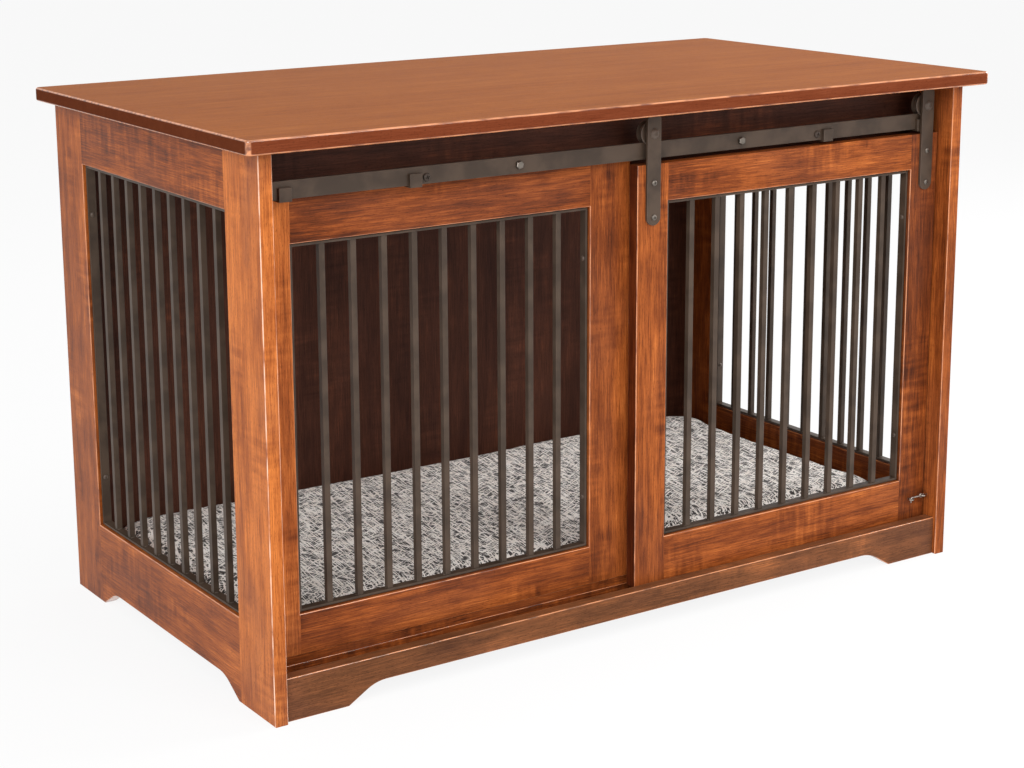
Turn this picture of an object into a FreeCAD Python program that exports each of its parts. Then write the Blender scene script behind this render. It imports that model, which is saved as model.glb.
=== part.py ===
"""Dog crate end table: a wooden crate with a table top, steel grilles on the front and sides,
a fixed front panel on the left and a door on the right that hangs from two grooved wheels on a
flat steel rail.  Millimetres.  X is to the right, Y to the back, Z up.  The origin is on the
floor under the middle of the table top."""
import FreeCAD, Part
import math
import os

# ---------------------------------------------------------------- driving dimensions
# table top
TOP_LENGTH = 1219.0
TOP_DEPTH = 660.0
TOP_THICKNESS = 19.0
TABLE_HEIGHT = 746.5
TOP_CORNER_RADIUS = 8.0
TOP_EDGE_RADIUS = 3.0
OVERHANG_SIDE = 27.0
OVERHANG_FRONT = 27.0
OVERHANG_BACK = 6.0

# boards
BOARD = 19.0               # thickness of every frame board
EASE = 1.6                 # radius of the sanded arrises
STEEL_EASE = 0.7           # radius of the eased edges of rail, clips, straps and bolt heads

# side frames
SIDE_FRONT_STILE = 93.5
SIDE_BACK_STILE = 89.5
SIDE_TOP_RAIL = 82.0
SIDE_BOTTOM_RAIL = 118.0   # from the floor to the opening
SIDE_FRONT_FOOT = 100.0
SIDE_BACK_FOOT = 94.0

# arch cut below the skirt and the side frames
ARCH_HEIGHT = 24.5
ARCH_RADIUS = 56.0
ARCH_SLOPE = 31.0          # degrees

# skirt and base
SKIRT_SETBACK = 6.0        # behind the front edge of the side frames
SKIRT_HEIGHT = 58.5
SKIRT_FOOT = 91.0
CHANNEL_WIDTH = 25.0       # slot behind the skirt that the door's lower edge runs in
CHANNEL_BOARD_THICKNESS = 10.0
CHANNEL_FLOOR = 36.0       # height of the slot's floor
SILL_WIDTH = 19.0
SILL_LIP = 1.5             # the sill stands this far in front of the floor panel
FLOOR_THICKNESS = 10.5
FLOOR_CLEAT = 19.0

# back
BACK_THICKNESS = 10.0
BACK_CLEAT = 19.0

# header and top cleats
HEADER_LAP = 47.5          # the header reaches this far down behind the fixed panel
TOP_CLEAT = 19.0
TOP_SCREW_COUNT = 3
TOP_SCREW_RADIUS = 2.0
TOP_SCREW_BITE = 12.0

# fixed panel
FIXED_LEFT_STILE = 48.0
FIXED_RIGHT_STILE = 67.0   # reaches a little way behind the closed door
FIXED_CLIP_GAP = 0.5       # from the panel's upper edge to the rail clips above it
FIXED_BOTTOM_RAIL = 55.0

# door
DOOR_STILE = 52.5
DOOR_TOP_RAIL = 52.5
DOOR_BOTTOM_RAIL = 66.5
DOOR_LAP = 4.0             # the door's lower edge hangs this far behind the skirt
DOOR_SIDE_GAP = 1.6        # to the side frame at each end of the travel
DOOR_LEFT_GAP = 1.4        # from the table's middle to the closed door's left edge
DOOR_RAIL_GAP = 6.5        # from the door's upper edge to the rail
DOOR_SKIRT_GAP = 2.5       # the door's face lies this far behind the skirt

# grilles
RING_THICKNESS = 3.0
RING_DEPTH = 12.5
RING_GAP = 1.5             # between the steel ring and the wood
RING_RECESS = 4.5          # behind the outer face
BAR = 8.0
BAR_COUNT = 9
FRONT_BAR_END = 47.75      # from the opening's edge to the middle of the first bar
SIDE_BAR_END = 43.6
GRILLE_SCREW_RADIUS = 1.8
GRILLE_SCREW_HEAD_RADIUS = 3.6
GRILLE_SCREW_HEAD = 2.0
GRILLE_SCREW_BITE = 16.0
GRILLE_SCREW_END = 70.0    # from the ring's ends

# dowels in the frame joints
DOWEL_RADIUS = 4.0
DOWEL_LENGTH = 40.0
DOWEL_HOLE_SPARE = 1.0
DOWEL_EDGE = 14.0          # from a rail's edge to the first dowel's axis

# rail
RAIL_THICKNESS = 6.0
RAIL_HEIGHT = 23.0
RAIL_DROP = 43.5           # from the underside of the top to the rail
RAIL_SETBACK = 7.0         # behind the door's face
RAIL_END_GAP = 4.0
RAIL_BOLT_SPACING = 374.0
RAIL_BOLT_RADIUS = 3.0
RAIL_BOLT_FLATS = 10.0
RAIL_BOLT_HEAD = 4.0
RAIL_BOLT_BITE = 15.0
STANDOFF_RADIUS = 6.0
CLIP_WIDTH = 17.5
CLIP_TAB = 5.0             # thickness of the tab in front of the rail
CLIP_TAB_HEIGHT = 15.0     # how far the tab reaches up the rail
CLIP_LEG = 2.5
CLIP_BACK_HEIGHT = 16.0
CLIP_INNER_INSET = 213.5   # from the rail's end to a clip's middle
CLIP_OUTER_INSET = 28.5
CLIP_SCREW_RADIUS = 2.2
CLIP_SCREW_HEAD_RADIUS = 4.2
CLIP_SCREW_HEAD = 2.4
CLIP_SCREW_BITE = 14.0
RAIL_SCREW_ASIDE = 18.0    # from the middle of the inner clip
RAIL_SCREW_RISE = 8.5      # of the screw above the rail's lower edge
RAIL_SCREW_RADIUS = 2.5
RAIL_SCREW_HEAD_RADIUS = 5.5
RAIL_SCREW_HEAD = 3.0
RAIL_SCREW_BITE = 14.0

# hangers
HANGER_WIDTH = 23.0
HANGER_THICKNESS = 4.0
HANGER_LAP = 83.5          # how far the strap reaches down the door
HANGER_OVER_AXLE = 23.3
HANGER_TOP_RADIUS = 4.0
HANGER_INSET = 25.0        # from the door's edge to the strap's middle line
HANGER_SCREWS = (11.0, 58.5)   # above the strap's lower end
HANGER_SCREW_RADIUS = 2.2
HANGER_SCREW_HEAD_RADIUS = 4.2
HANGER_SCREW_HEAD = 2.2
HANGER_SCREW_BITE = 15.0

# wheels
TREAD_RADIUS = 12.4
FLANGE_RADIUS = 16.5
FLANGE_THICKNESS = 2.7
GROOVE_WIDTH = 7.0
GROOVE_FLARE = 0.9         # how far each flange leans out at its rim
BUSH_RADIUS = 6.0
BUSH_PROUD = 0.2
WHEEL_RIDE = 0.3           # tread above the rail
AXLE_RADIUS = 4.0
AXLE_CLEARANCE = 0.05
AXLE_END_PLAY = 0.3
AXLE_HEAD_RADIUS = 7.5
AXLE_HEAD = 4.6
WASHER_RADIUS = 8.0
NUT_FLATS = 13.0
NUT_HEIGHT = 6.5
AXLE_PAST_NUT = 2.0

# latch
WIRE = 1.1                 # radius of the wire of the hook and both eyes
EYE_RING = 4.0             # middle radius of an eye's ring
EYE_STEM = 5.0             # from the wood to the ring
EYE_BITE = 10.0
HOOK_RING = 2.6            # middle radius of the hook's own ring
LATCH_SETBACK = 21.0       # behind the front edge of the side frame
LATCH_RISE = 37.5          # above the door's lower edge
HOOK_REACH = 21.0          # pivot to tip
HOOK_BEND = 3.0
HOOK_TIP = 7.5             # how far the tip hangs below the shank
HOOK_REST_GAP = 0.3        # shank above the door's eye

# pad
PAD_SIDE_GAP = 12.0
PAD_FRONT_GAP = 10.0
PAD_BACK_GAP = 6.0
PAD_CORNER = 46.0
PAD_DRAW_LONG = 9.0        # how far a long side is drawn in at its middle
PAD_DRAW_SHORT = 6.0
PAD_FLOOR_GAP = 0.3

# ---------------------------------------------------------------- places worked out from them
TOP_UNDERSIDE = TABLE_HEIGHT - TOP_THICKNESS
SIDE_OUTER = TOP_LENGTH / 2 - OVERHANG_SIDE
SIDE_INNER = SIDE_OUTER - BOARD
SIDE_FRONT = -TOP_DEPTH / 2 + OVERHANG_FRONT
SIDE_BACK = TOP_DEPTH / 2 - OVERHANG_BACK
SIDE_DEPTH = SIDE_BACK - SIDE_FRONT

SKIRT_FACE = SIDE_FRONT + SKIRT_SETBACK
CHANNEL_FRONT = SKIRT_FACE + BOARD
SILL_FACE = CHANNEL_FRONT + CHANNEL_WIDTH
SILL_BACK = SILL_FACE + SILL_WIDTH
FLOOR_BOTTOM = CHANNEL_FLOOR + FLOOR_CLEAT
FLOOR_TOP = FLOOR_BOTTOM + FLOOR_THICKNESS
FIXED_FACE = SILL_FACE + SILL_LIP
HEADER_FACE = FIXED_FACE + BOARD
HEADER_BACK = HEADER_FACE + BOARD
RAIL_TOP = TOP_UNDERSIDE - RAIL_DROP
RAIL_BOTTOM = RAIL_TOP - RAIL_HEIGHT
DOOR_TOP = RAIL_BOTTOM - DOOR_RAIL_GAP
DOOR_BOTTOM = SKIRT_HEIGHT - DOOR_LAP
BACK_FACE = SIDE_BACK - BACK_THICKNESS
BACK_CLEAT_FACE = BACK_FACE - BACK_CLEAT

# front grille opening, the same in the door and in the fixed panel
GRILLE_OPENING_WIDTH = SIDE_INNER - DOOR_SIDE_GAP - DOOR_LEFT_GAP - 2 * DOOR_STILE
GRILLE_OPENING_HEIGHT = DOOR_TOP - DOOR_TOP_RAIL - DOOR_BOTTOM_RAIL - DOOR_BOTTOM

FIXED_LEFT = -SIDE_INNER
FIXED_WIDTH = FIXED_LEFT_STILE + GRILLE_OPENING_WIDTH + FIXED_RIGHT_STILE
FIXED_TOP = RAIL_BOTTOM - CLIP_LEG - FIXED_CLIP_GAP
FIXED_TOP_RAIL = FIXED_TOP - FLOOR_TOP - FIXED_BOTTOM_RAIL - GRILLE_OPENING_HEIGHT
HEADER_BOTTOM = FIXED_TOP - HEADER_LAP

DOOR_FACE = CHANNEL_FRONT + DOOR_SKIRT_GAP
DOOR_WIDTH = 2 * DOOR_STILE + GRILLE_OPENING_WIDTH
DOOR_RIGHT = SIDE_INNER - DOOR_SIDE_GAP
DOOR_LEFT = DOOR_RIGHT - DOOR_WIDTH
DOOR_TRAVEL = DOOR_LEFT + SIDE_INNER - DOOR_SIDE_GAP

HANGER_X = {"left": DOOR_LEFT + HANGER_INSET, "right": DOOR_RIGHT - HANGER_INSET}
HANGER_FACE = DOOR_FACE - HANGER_THICKNESS
RAIL_FACE = DOOR_FACE + RAIL_SETBACK
RAIL_MIDDLE = RAIL_FACE + RAIL_THICKNESS / 2
RAIL_BACK = RAIL_FACE + RAIL_THICKNESS
RAIL_END = SIDE_INNER - RAIL_END_GAP
RAIL_BOLT_X = (-RAIL_BOLT_SPACING / 2, RAIL_BOLT_SPACING / 2)
CLIP_X = (-RAIL_END + CLIP_OUTER_INSET, -RAIL_END + CLIP_INNER_INSET,
          RAIL_END - CLIP_INNER_INSET, RAIL_END - CLIP_OUTER_INSET)
RAIL_SCREW_X = (CLIP_X[1] + RAIL_SCREW_ASIDE, CLIP_X[2] - RAIL_SCREW_ASIDE)
AXLE_HEIGHT = RAIL_TOP + WHEEL_RIDE + TREAD_RADIUS
HANGER_BOTTOM = DOOR_TOP - HANGER_LAP
HANGER_TOP = AXLE_HEIGHT + HANGER_OVER_AXLE
WHEEL_WIDTH = GROOVE_WIDTH + 2 * FLANGE_THICKNESS
WHEEL_FRONT = RAIL_MIDDLE - WHEEL_WIDTH / 2
WHEEL_BACK = RAIL_MIDDLE + WHEEL_WIDTH / 2
WASHER_BACK = WHEEL_FRONT - BUSH_PROUD - AXLE_END_PLAY
NUT_FRONT = WHEEL_BACK + BUSH_PROUD + AXLE_END_PLAY

LATCH_Y = SIDE_FRONT + LATCH_SETBACK
LATCH_HEIGHT = DOOR_BOTTOM + LATCH_RISE
HOOK_PIVOT_X = SIDE_INNER - EYE_STEM - 2 * EYE_RING
HOOK_TIP_X = HOOK_PIVOT_X - HOOK_REACH
DOOR_EYE_HEIGHT = LATCH_HEIGHT - 2 * WIRE - HOOK_REST_GAP

V = FreeCAD.Vector
X_AXIS, Y_AXIS, Z_AXIS = V(1, 0, 0), V(0, 1, 0), V(0, 0, 1)
TOLERANCE = 1e-3
MARGIN = 1.0               # how far a cutting shape runs past what it cuts


# ---------------------------------------------------------------- helpers
def box(x0, x1, y0, y1, z0, z1):
    return Part.makeBox(x1 - x0, y1 - y0, z1 - z0, V(x0, y0, z0))


def cylinder(radius, length, start, axis):
    return Part.makeCylinder(radius, length, start, axis)


def joined(shapes):
    """One solid from overlapping or touching shapes, all fused at once."""
    return shapes[0].multiFuse(shapes[1:]).removeSplitter()


def group(shapes):
    """Separate solids kept together in one node."""
    return Part.makeCompound(shapes)


def cut_all(shape, tools):
    for tool in tools:
        shape = shape.cut(tool)
    return shape


def solid_of(shape):
    """The single solid of a boolean result."""
    return shape.Solids[0] if len(shape.Solids) == 1 else shape


def eased(shape, radius, chosen):
    """Round the edges for which chosen(edge) is true."""
    return shape.makeFillet(radius, [edge for edge in shape.Edges if chosen(edge)])


def at(value, target):
    return abs(value - target) < TOLERANCE


def flat_in(edge, axis):
    """True if the edge lies in a plane square to the axis."""
    return getattr(edge.BoundBox, axis + "Length") < TOLERANCE * 10


def hexagon(flats, height, start, axis):
    """A hexagonal prism about the axis Y."""
    across = flats / math.sqrt(3)
    corners = [V(start.x + across * math.cos(math.radians(60 * i)), start.y,
                 start.z + across * math.sin(math.radians(60 * i))) for i in range(7)]
    return Part.Face(Part.makePolygon(corners)).extrude(axis * height)


def domed_head(radius, height, start, axis):
    """A low domed screw head whose flat side is at start and whose dome points along axis."""
    sphere_radius = (radius * radius + height * height) / (2 * height)
    ball = Part.makeSphere(sphere_radius, start - axis * (sphere_radius - height))
    return ball.common(cylinder(radius + MARGIN, height + MARGIN, start, axis))


def screw(radius, bite, head_radius, head, start, into):
    """A screw whose head sits on the surface at start and whose shank runs along into."""
    shank = cylinder(radius, bite, start, into)
    return joined([shank, domed_head(head_radius, head, start, into * -1)])


# ---------------------------------------------------------------- arch
def arch_run():
    """Length of one sloping end of the arch, from the foot to where it runs level."""
    slope = math.radians(ARCH_SLOPE)
    curve_rise = ARCH_RADIUS * (1 - math.cos(slope))
    return (ARCH_HEIGHT - curve_rise) / math.tan(slope) + ARCH_RADIUS * math.sin(slope)


def arch_prism(x0, x1, y0, y1):
    """The space under an arch that springs from the floor at x0 and x1."""
    slope = math.radians(ARCH_SLOPE)
    run = arch_run()
    curve_run = ARCH_RADIUS * math.sin(slope)
    curve_rise = ARCH_RADIUS * (1 - math.cos(slope))
    half_run = ARCH_RADIUS * math.sin(slope / 2)
    half_rise = ARCH_RADIUS * (1 - math.cos(slope / 2))

    def spring(foot, side):
        """Straight slope and tangent arc at one end; side is +1 at x0 and -1 at x1."""
        bend = V(foot + side * (run - curve_run), y0, ARCH_HEIGHT - curve_rise)
        middle = V(foot + side * (run - half_run), y0, ARCH_HEIGHT - half_rise)
        level = V(foot + side * run, y0, ARCH_HEIGHT)
        return V(foot, y0, 0), bend, middle, level

    foot_a, bend_a, middle_a, level_a = spring(x0, 1)
    foot_b, bend_b, middle_b, level_b = spring(x1, -1)
    below_a, below_b = V(x0, y0, -MARGIN), V(x1, y0, -MARGIN)
    edges = [
        Part.makeLine(below_a, foot_a), Part.makeLine(foot_a, bend_a),
        Part.Arc(bend_a, middle_a, level_a).toShape(), Part.makeLine(level_a, level_b),
        Part.Arc(level_b, middle_b, bend_b).toShape(), Part.makeLine(bend_b, foot_b),
        Part.makeLine(foot_b, below_b), Part.makeLine(below_b, below_a),
    ]
    return Part.Face(Part.Wire(edges)).extrude(Y_AXIS * (y1 - y0))


# ---------------------------------------------------------------- framed panels with a grille
class FramedPanel:
    """Two stiles, two rails and a barred grille, made lying along X with its face at y = 0."""

    def __init__(self, width, low, high, left_stile, right_stile, bottom_rail, top_rail,
                 bar_end, arch=None):
        self.width, self.low, self.high = width, low, high
        self.left, self.right = left_stile, width - right_stile
        self.sill, self.head = low + bottom_rail, high - top_rail
        self.bar_end, self.arch = bar_end, arch

    def blank(self):
        """All four members in one piece, with the arrises eased."""
        outline = box(0, self.width, 0, BOARD, self.low, self.high)
        shape = outline.cut(box(self.left, self.right, -MARGIN, BOARD + MARGIN, self.sill, self.head))
        if self.arch:
            shape = shape.cut(arch_prism(self.arch[0], self.width - self.arch[1], -MARGIN, BOARD + MARGIN))
        return eased(shape, EASE, lambda edge: flat_in(edge, "Y")
                     and not at(edge.CenterOfMass.z, self.high))

    def dowel_places(self):
        """Middle of each dowel, two in each joint."""
        places = []
        for x in (self.left, self.right):
            for z0, z1 in ((self.low if not self.arch else self.low + ARCH_HEIGHT + EASE, self.sill),
                           (self.head, self.high)):
                places += [V(x, BOARD / 2, z0 + DOWEL_EDGE), V(x, BOARD / 2, z1 - DOWEL_EDGE)]
        return places

    def dowels(self):
        half = DOWEL_LENGTH / 2
        return group([cylinder(DOWEL_RADIUS, DOWEL_LENGTH, place - X_AXIS * half, X_AXIS)
                      for place in self.dowel_places()])

    def dowel_holes(self):
        half = DOWEL_LENGTH / 2 + DOWEL_HOLE_SPARE
        return [cylinder(DOWEL_RADIUS, 2 * half, place - X_AXIS * half, X_AXIS)
                for place in self.dowel_places()]

    def screw_places(self):
        """Where a screw passes through the ring into a stile, and which way it points."""
        low = self.sill + RING_GAP + GRILLE_SCREW_END
        high = self.head - RING_GAP - GRILLE_SCREW_END
        inset = RING_GAP + RING_THICKNESS
        y = RING_RECESS + RING_DEPTH / 2
        return ([(V(self.left + inset, y, z), X_AXIS * -1) for z in (low, high)]
                + [(V(self.right - inset, y, z), X_AXIS) for z in (low, high)])

    def screws(self):
        return group([screw(GRILLE_SCREW_RADIUS, GRILLE_SCREW_BITE, GRILLE_SCREW_HEAD_RADIUS,
                            GRILLE_SCREW_HEAD, place, into) for place, into in self.screw_places()])

    def screw_holes(self):
        return [cylinder(GRILLE_SCREW_RADIUS, GRILLE_SCREW_BITE, place, into)
                for place, into in self.screw_places()]

    def members(self):
        """The four boards, cut apart at their joints and drilled."""
        blank = cut_all(self.blank(), self.dowel_holes() + self.screw_holes())
        y0, y1 = -MARGIN, BOARD + MARGIN
        low, high = self.low - MARGIN, self.high + MARGIN
        cuts = {
            "left_stile": box(-MARGIN, self.left, y0, y1, low, high),
            "right_stile": box(self.right, self.width + MARGIN, y0, y1, low, high),
            "bottom_rail": box(self.left, self.right, y0, y1, low, self.sill + MARGIN),
            "top_rail": box(self.left, self.right, y0, y1, self.head - MARGIN, high),
        }
        return {name: solid_of(blank.common(region)) for name, region in cuts.items()}

    def grille(self):
        """Flat-bar ring with upright square bars welded inside it."""
        x0, x1 = self.left + RING_GAP, self.right - RING_GAP
        z0, z1 = self.sill + RING_GAP, self.head - RING_GAP
        y0, y1 = RING_RECESS, RING_RECESS + RING_DEPTH
        inner = (x0 + RING_THICKNESS, x1 - RING_THICKNESS, z0 + RING_THICKNESS, z1 - RING_THICKNESS)
        ring = box(x0, x1, y0, y1, z0, z1).cut(
            box(inner[0], inner[1], y0 - MARGIN, y1 + MARGIN, inner[2], inner[3]))
        first, last = self.left + self.bar_end, self.right - self.bar_end
        bar_front = (y0 + y1 - BAR) / 2
        bars = []
        for number in range(BAR_COUNT):
            middle = first + (last - first) * number / (BAR_COUNT - 1)
            bars.append(box(middle - BAR / 2, middle + BAR / 2, bar_front, bar_front + BAR,
                            z0 + RING_THICKNESS / 2, z1 - RING_THICKNESS / 2))
        return cut_all(joined([ring] + bars), self.screw_holes())


def placed(shape, position, turn=0.0):
    """A copy turned about Z by whole quarter turns and moved."""
    result = shape.copy()
    result.Placement = FreeCAD.Placement(position, FreeCAD.Rotation(Z_AXIS, turn)).multiply(
        result.Placement)
    return result


def side_panels():
    """Left and right side frames: outer faces outwards, each with feet and an arch."""
    left = FramedPanel(SIDE_DEPTH, 0, TOP_UNDERSIDE, SIDE_BACK_STILE, SIDE_FRONT_STILE,
                       SIDE_BOTTOM_RAIL, SIDE_TOP_RAIL, SIDE_BAR_END,
                       arch=(SIDE_BACK_FOOT, SIDE_FRONT_FOOT))
    right = FramedPanel(SIDE_DEPTH, 0, TOP_UNDERSIDE, SIDE_FRONT_STILE, SIDE_BACK_STILE,
                        SIDE_BOTTOM_RAIL, SIDE_TOP_RAIL, SIDE_BAR_END,
                        arch=(SIDE_FRONT_FOOT, SIDE_BACK_FOOT))
    return (left, V(-SIDE_OUTER, SIDE_BACK, 0), -90), (right, V(SIDE_OUTER, SIDE_FRONT, 0), 90)


# ---------------------------------------------------------------- wooden pieces
def top_board():
    x, y = TOP_LENGTH / 2, TOP_DEPTH / 2
    shape = box(-x, x, -y, y, TOP_UNDERSIDE, TABLE_HEIGHT)
    shape = eased(shape, TOP_CORNER_RADIUS, lambda edge: flat_in(edge, "X") and flat_in(edge, "Y"))
    return eased(shape, TOP_EDGE_RADIUS, lambda edge: flat_in(edge, "Z"))


def header_board():
    """Board behind the rail that carries it; the fixed panel is screwed to its front."""
    shape = box(-SIDE_INNER, SIDE_INNER, HEADER_FACE, HEADER_BACK, HEADER_BOTTOM, TOP_UNDERSIDE)
    return eased(shape, EASE, lambda edge: at(edge.CenterOfMass.z, HEADER_BOTTOM)
                 and flat_in(edge, "Y"))


def front_skirt():
    shape = box(-SIDE_INNER, SIDE_INNER, SKIRT_FACE, CHANNEL_FRONT, 0, SKIRT_HEIGHT)
    foot = SIDE_INNER - SKIRT_FOOT
    shape = shape.cut(arch_prism(-foot, foot, SKIRT_FACE - MARGIN, CHANNEL_FRONT + MARGIN))
    return eased(shape, EASE, lambda edge: flat_in(edge, "Y") and not at(abs(edge.CenterOfMass.x),
                                                                         SIDE_INNER))


def channel_board():
    return box(-SIDE_INNER, SIDE_INNER, CHANNEL_FRONT, SILL_BACK,
               CHANNEL_FLOOR - CHANNEL_BOARD_THICKNESS, CHANNEL_FLOOR)


def front_sill():
    shape = box(-SIDE_INNER, SIDE_INNER, SILL_FACE, SILL_BACK, CHANNEL_FLOOR, FLOOR_BOTTOM)
    return eased(shape, SILL_LIP / 2, lambda edge: at(edge.CenterOfMass.z, FLOOR_BOTTOM)
                 and at(edge.CenterOfMass.y, SILL_FACE))


def floor_panel():
    return box(-SIDE_INNER, SIDE_INNER, FIXED_FACE, BACK_FACE, FLOOR_BOTTOM, FLOOR_TOP)


def floor_cleats():
    """Left and right strips that carry the ends of the floor panel."""
    return {side: box(min(a, b), max(a, b), SILL_BACK, BACK_CLEAT_FACE, CHANNEL_FLOOR, FLOOR_BOTTOM)
            for side, a, b in (("left", -SIDE_INNER, -SIDE_INNER + FLOOR_CLEAT),
                               ("right", SIDE_INNER - FLOOR_CLEAT, SIDE_INNER))}


def back_pieces():
    """Back panel, let in between the side frames, and the cleats along its top and below the floor."""
    x, low = SIDE_INNER, CHANNEL_FLOOR - CHANNEL_BOARD_THICKNESS
    return {
        "back_panel": box(-x, x, BACK_FACE, SIDE_BACK, low, TOP_UNDERSIDE),
        "back_floor_cleat": box(-x, x, BACK_CLEAT_FACE, BACK_FACE, CHANNEL_FLOOR, FLOOR_BOTTOM),
        "back_top_cleat": box(-x, x, BACK_CLEAT_FACE, BACK_FACE, TOP_UNDERSIDE - TOP_CLEAT, TOP_UNDERSIDE),
    }


def top_screw_places():
    """Underside of each cleat where a screw goes up into the top."""
    span = BACK_CLEAT_FACE - HEADER_BACK
    return [V(side * (SIDE_INNER - TOP_CLEAT / 2), HEADER_BACK + span * (i + 0.5) / TOP_SCREW_COUNT,
              TOP_UNDERSIDE - TOP_CLEAT) for side in (-1, 1) for i in range(TOP_SCREW_COUNT)]


def top_screw_holes():
    return [cylinder(TOP_SCREW_RADIUS, TOP_CLEAT + TOP_SCREW_BITE, place, Z_AXIS)
            for place in top_screw_places()]


def top_cleats():
    return {side: cut_all(box(min(a, b), max(a, b), HEADER_BACK, BACK_CLEAT_FACE,
                              TOP_UNDERSIDE - TOP_CLEAT, TOP_UNDERSIDE), top_screw_holes())
            for side, a, b in (("left", -SIDE_INNER, -SIDE_INNER + TOP_CLEAT),
                               ("right", SIDE_INNER - TOP_CLEAT, SIDE_INNER))}


def top_screws():
    return group([screw(TOP_SCREW_RADIUS, TOP_CLEAT + TOP_SCREW_BITE, 2 * TOP_SCREW_RADIUS,
                        TOP_SCREW_RADIUS, place, Z_AXIS) for place in top_screw_places()])


# ---------------------------------------------------------------- rail
def rail_bolt_places():
    return [V(x, RAIL_FACE, (RAIL_BOTTOM + RAIL_TOP) / 2) for x in RAIL_BOLT_X]


def rail_bolt_length():
    return HEADER_FACE - RAIL_FACE + RAIL_BOLT_BITE


def rail_bolt_holes():
    return [cylinder(RAIL_BOLT_RADIUS, rail_bolt_length(), place, Y_AXIS) for place in rail_bolt_places()]


def rail_screw_places():
    return [V(x, RAIL_FACE, RAIL_BOTTOM + RAIL_SCREW_RISE) for x in RAIL_SCREW_X]


def rail_screw_length():
    return HEADER_FACE - RAIL_FACE + RAIL_SCREW_BITE


def rail_screw_holes():
    return [cylinder(RAIL_SCREW_RADIUS, rail_screw_length(), place, Y_AXIS)
            for place in rail_screw_places()]


def rail_screws():
    """Round-headed screws through the rail into the header, one beside each inner clip."""
    return group([screw(RAIL_SCREW_RADIUS, rail_screw_length(), RAIL_SCREW_HEAD_RADIUS,
                        RAIL_SCREW_HEAD, place, Y_AXIS) for place in rail_screw_places()])


def track_rail():
    bar = box(-RAIL_END, RAIL_END, RAIL_FACE, RAIL_BACK, RAIL_BOTTOM, RAIL_TOP)
    bar = eased(bar, STEEL_EASE, lambda edge: flat_in(edge, "Y") and flat_in(edge, "Z"))
    return cut_all(bar, rail_bolt_holes() + rail_screw_holes())


def rail_standoffs():
    """Tubes between the rail and the header."""
    length = HEADER_FACE - RAIL_BACK
    return group([cylinder(STANDOFF_RADIUS, length, V(p.x, RAIL_BACK, p.z), Y_AXIS).cut(
        cylinder(RAIL_BOLT_RADIUS, length, V(p.x, RAIL_BACK, p.z), Y_AXIS)) for p in rail_bolt_places()])


def rail_bolts():
    bolts = []
    for place in rail_bolt_places():
        head = hexagon(RAIL_BOLT_FLATS, RAIL_BOLT_HEAD, place, Y_AXIS * -1)
        head = eased(head, STEEL_EASE, lambda edge: flat_in(edge, "Y")
                     and at(edge.CenterOfMass.y, RAIL_FACE - RAIL_BOLT_HEAD))
        bolts.append(joined([head, cylinder(RAIL_BOLT_RADIUS, rail_bolt_length(), place, Y_AXIS)]))
    return group(bolts)


def clip_screw_places():
    height = RAIL_BOTTOM + CLIP_BACK_HEIGHT / 2
    return [V(x, HEADER_FACE - CLIP_LEG, height) for x in CLIP_X]


def clip_screw_holes():
    return [cylinder(CLIP_SCREW_RADIUS, CLIP_LEG + CLIP_SCREW_BITE, place, Y_AXIS)
            for place in clip_screw_places()]


def rail_clips():
    """Steel clips that carry the rail's lower edge: a tab in front, a leg below, a plate behind."""
    clips = []
    for x in CLIP_X:
        x0, x1 = x - CLIP_WIDTH / 2, x + CLIP_WIDTH / 2
        tab = box(x0, x1, RAIL_FACE - CLIP_TAB, RAIL_FACE, RAIL_BOTTOM - CLIP_LEG,
                  RAIL_BOTTOM + CLIP_TAB_HEIGHT)
        leg = box(x0, x1, RAIL_FACE - CLIP_TAB, HEADER_FACE, RAIL_BOTTOM - CLIP_LEG, RAIL_BOTTOM)
        plate = box(x0, x1, HEADER_FACE - CLIP_LEG, HEADER_FACE, RAIL_BOTTOM - CLIP_LEG,
                    RAIL_BOTTOM + CLIP_BACK_HEIGHT)
        clip = eased(joined([tab, leg, plate]), STEEL_EASE,
                     lambda edge: at(edge.CenterOfMass.y, RAIL_FACE - CLIP_TAB) and flat_in(edge, "Y"))
        clips.append(cut_all(clip, clip_screw_holes()))
    return group(clips)


def clip_screws():
    return group([screw(CLIP_SCREW_RADIUS, CLIP_LEG + CLIP_SCREW_BITE, CLIP_SCREW_HEAD_RADIUS,
                        CLIP_SCREW_HEAD, place, Y_AXIS) for place in clip_screw_places()])


# ---------------------------------------------------------------- door hardware
def hanger_screw_places(side):
    return [V(HANGER_X[side], HANGER_FACE, HANGER_BOTTOM + rise) for rise in HANGER_SCREWS]


def hanger_screw_holes(side):
    return [cylinder(HANGER_SCREW_RADIUS, HANGER_THICKNESS + HANGER_SCREW_BITE, place, Y_AXIS)
            for place in hanger_screw_places(side)]


def hanger(side):
    """Flat strap with a round lower end and eased upper corners."""
    x, half = HANGER_X[side], HANGER_WIDTH / 2
    strap = box(x - half, x + half, HANGER_FACE, DOOR_FACE, HANGER_BOTTOM + half, HANGER_TOP)
    strap = eased(strap, HANGER_TOP_RADIUS, lambda edge: at(edge.CenterOfMass.z, HANGER_TOP)
                  and flat_in(edge, "X"))
    foot = cylinder(half, HANGER_THICKNESS, V(x, HANGER_FACE, HANGER_BOTTOM + half), Y_AXIS)
    strap = joined([strap, foot])
    strap = eased(strap, STEEL_EASE, lambda edge: flat_in(edge, "Y")
                  and at(edge.CenterOfMass.y, HANGER_FACE))
    axle_hole = cylinder(AXLE_RADIUS, HANGER_THICKNESS, V(x, HANGER_FACE, AXLE_HEIGHT), Y_AXIS)
    return cut_all(strap, [axle_hole] + hanger_screw_holes(side))


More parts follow.
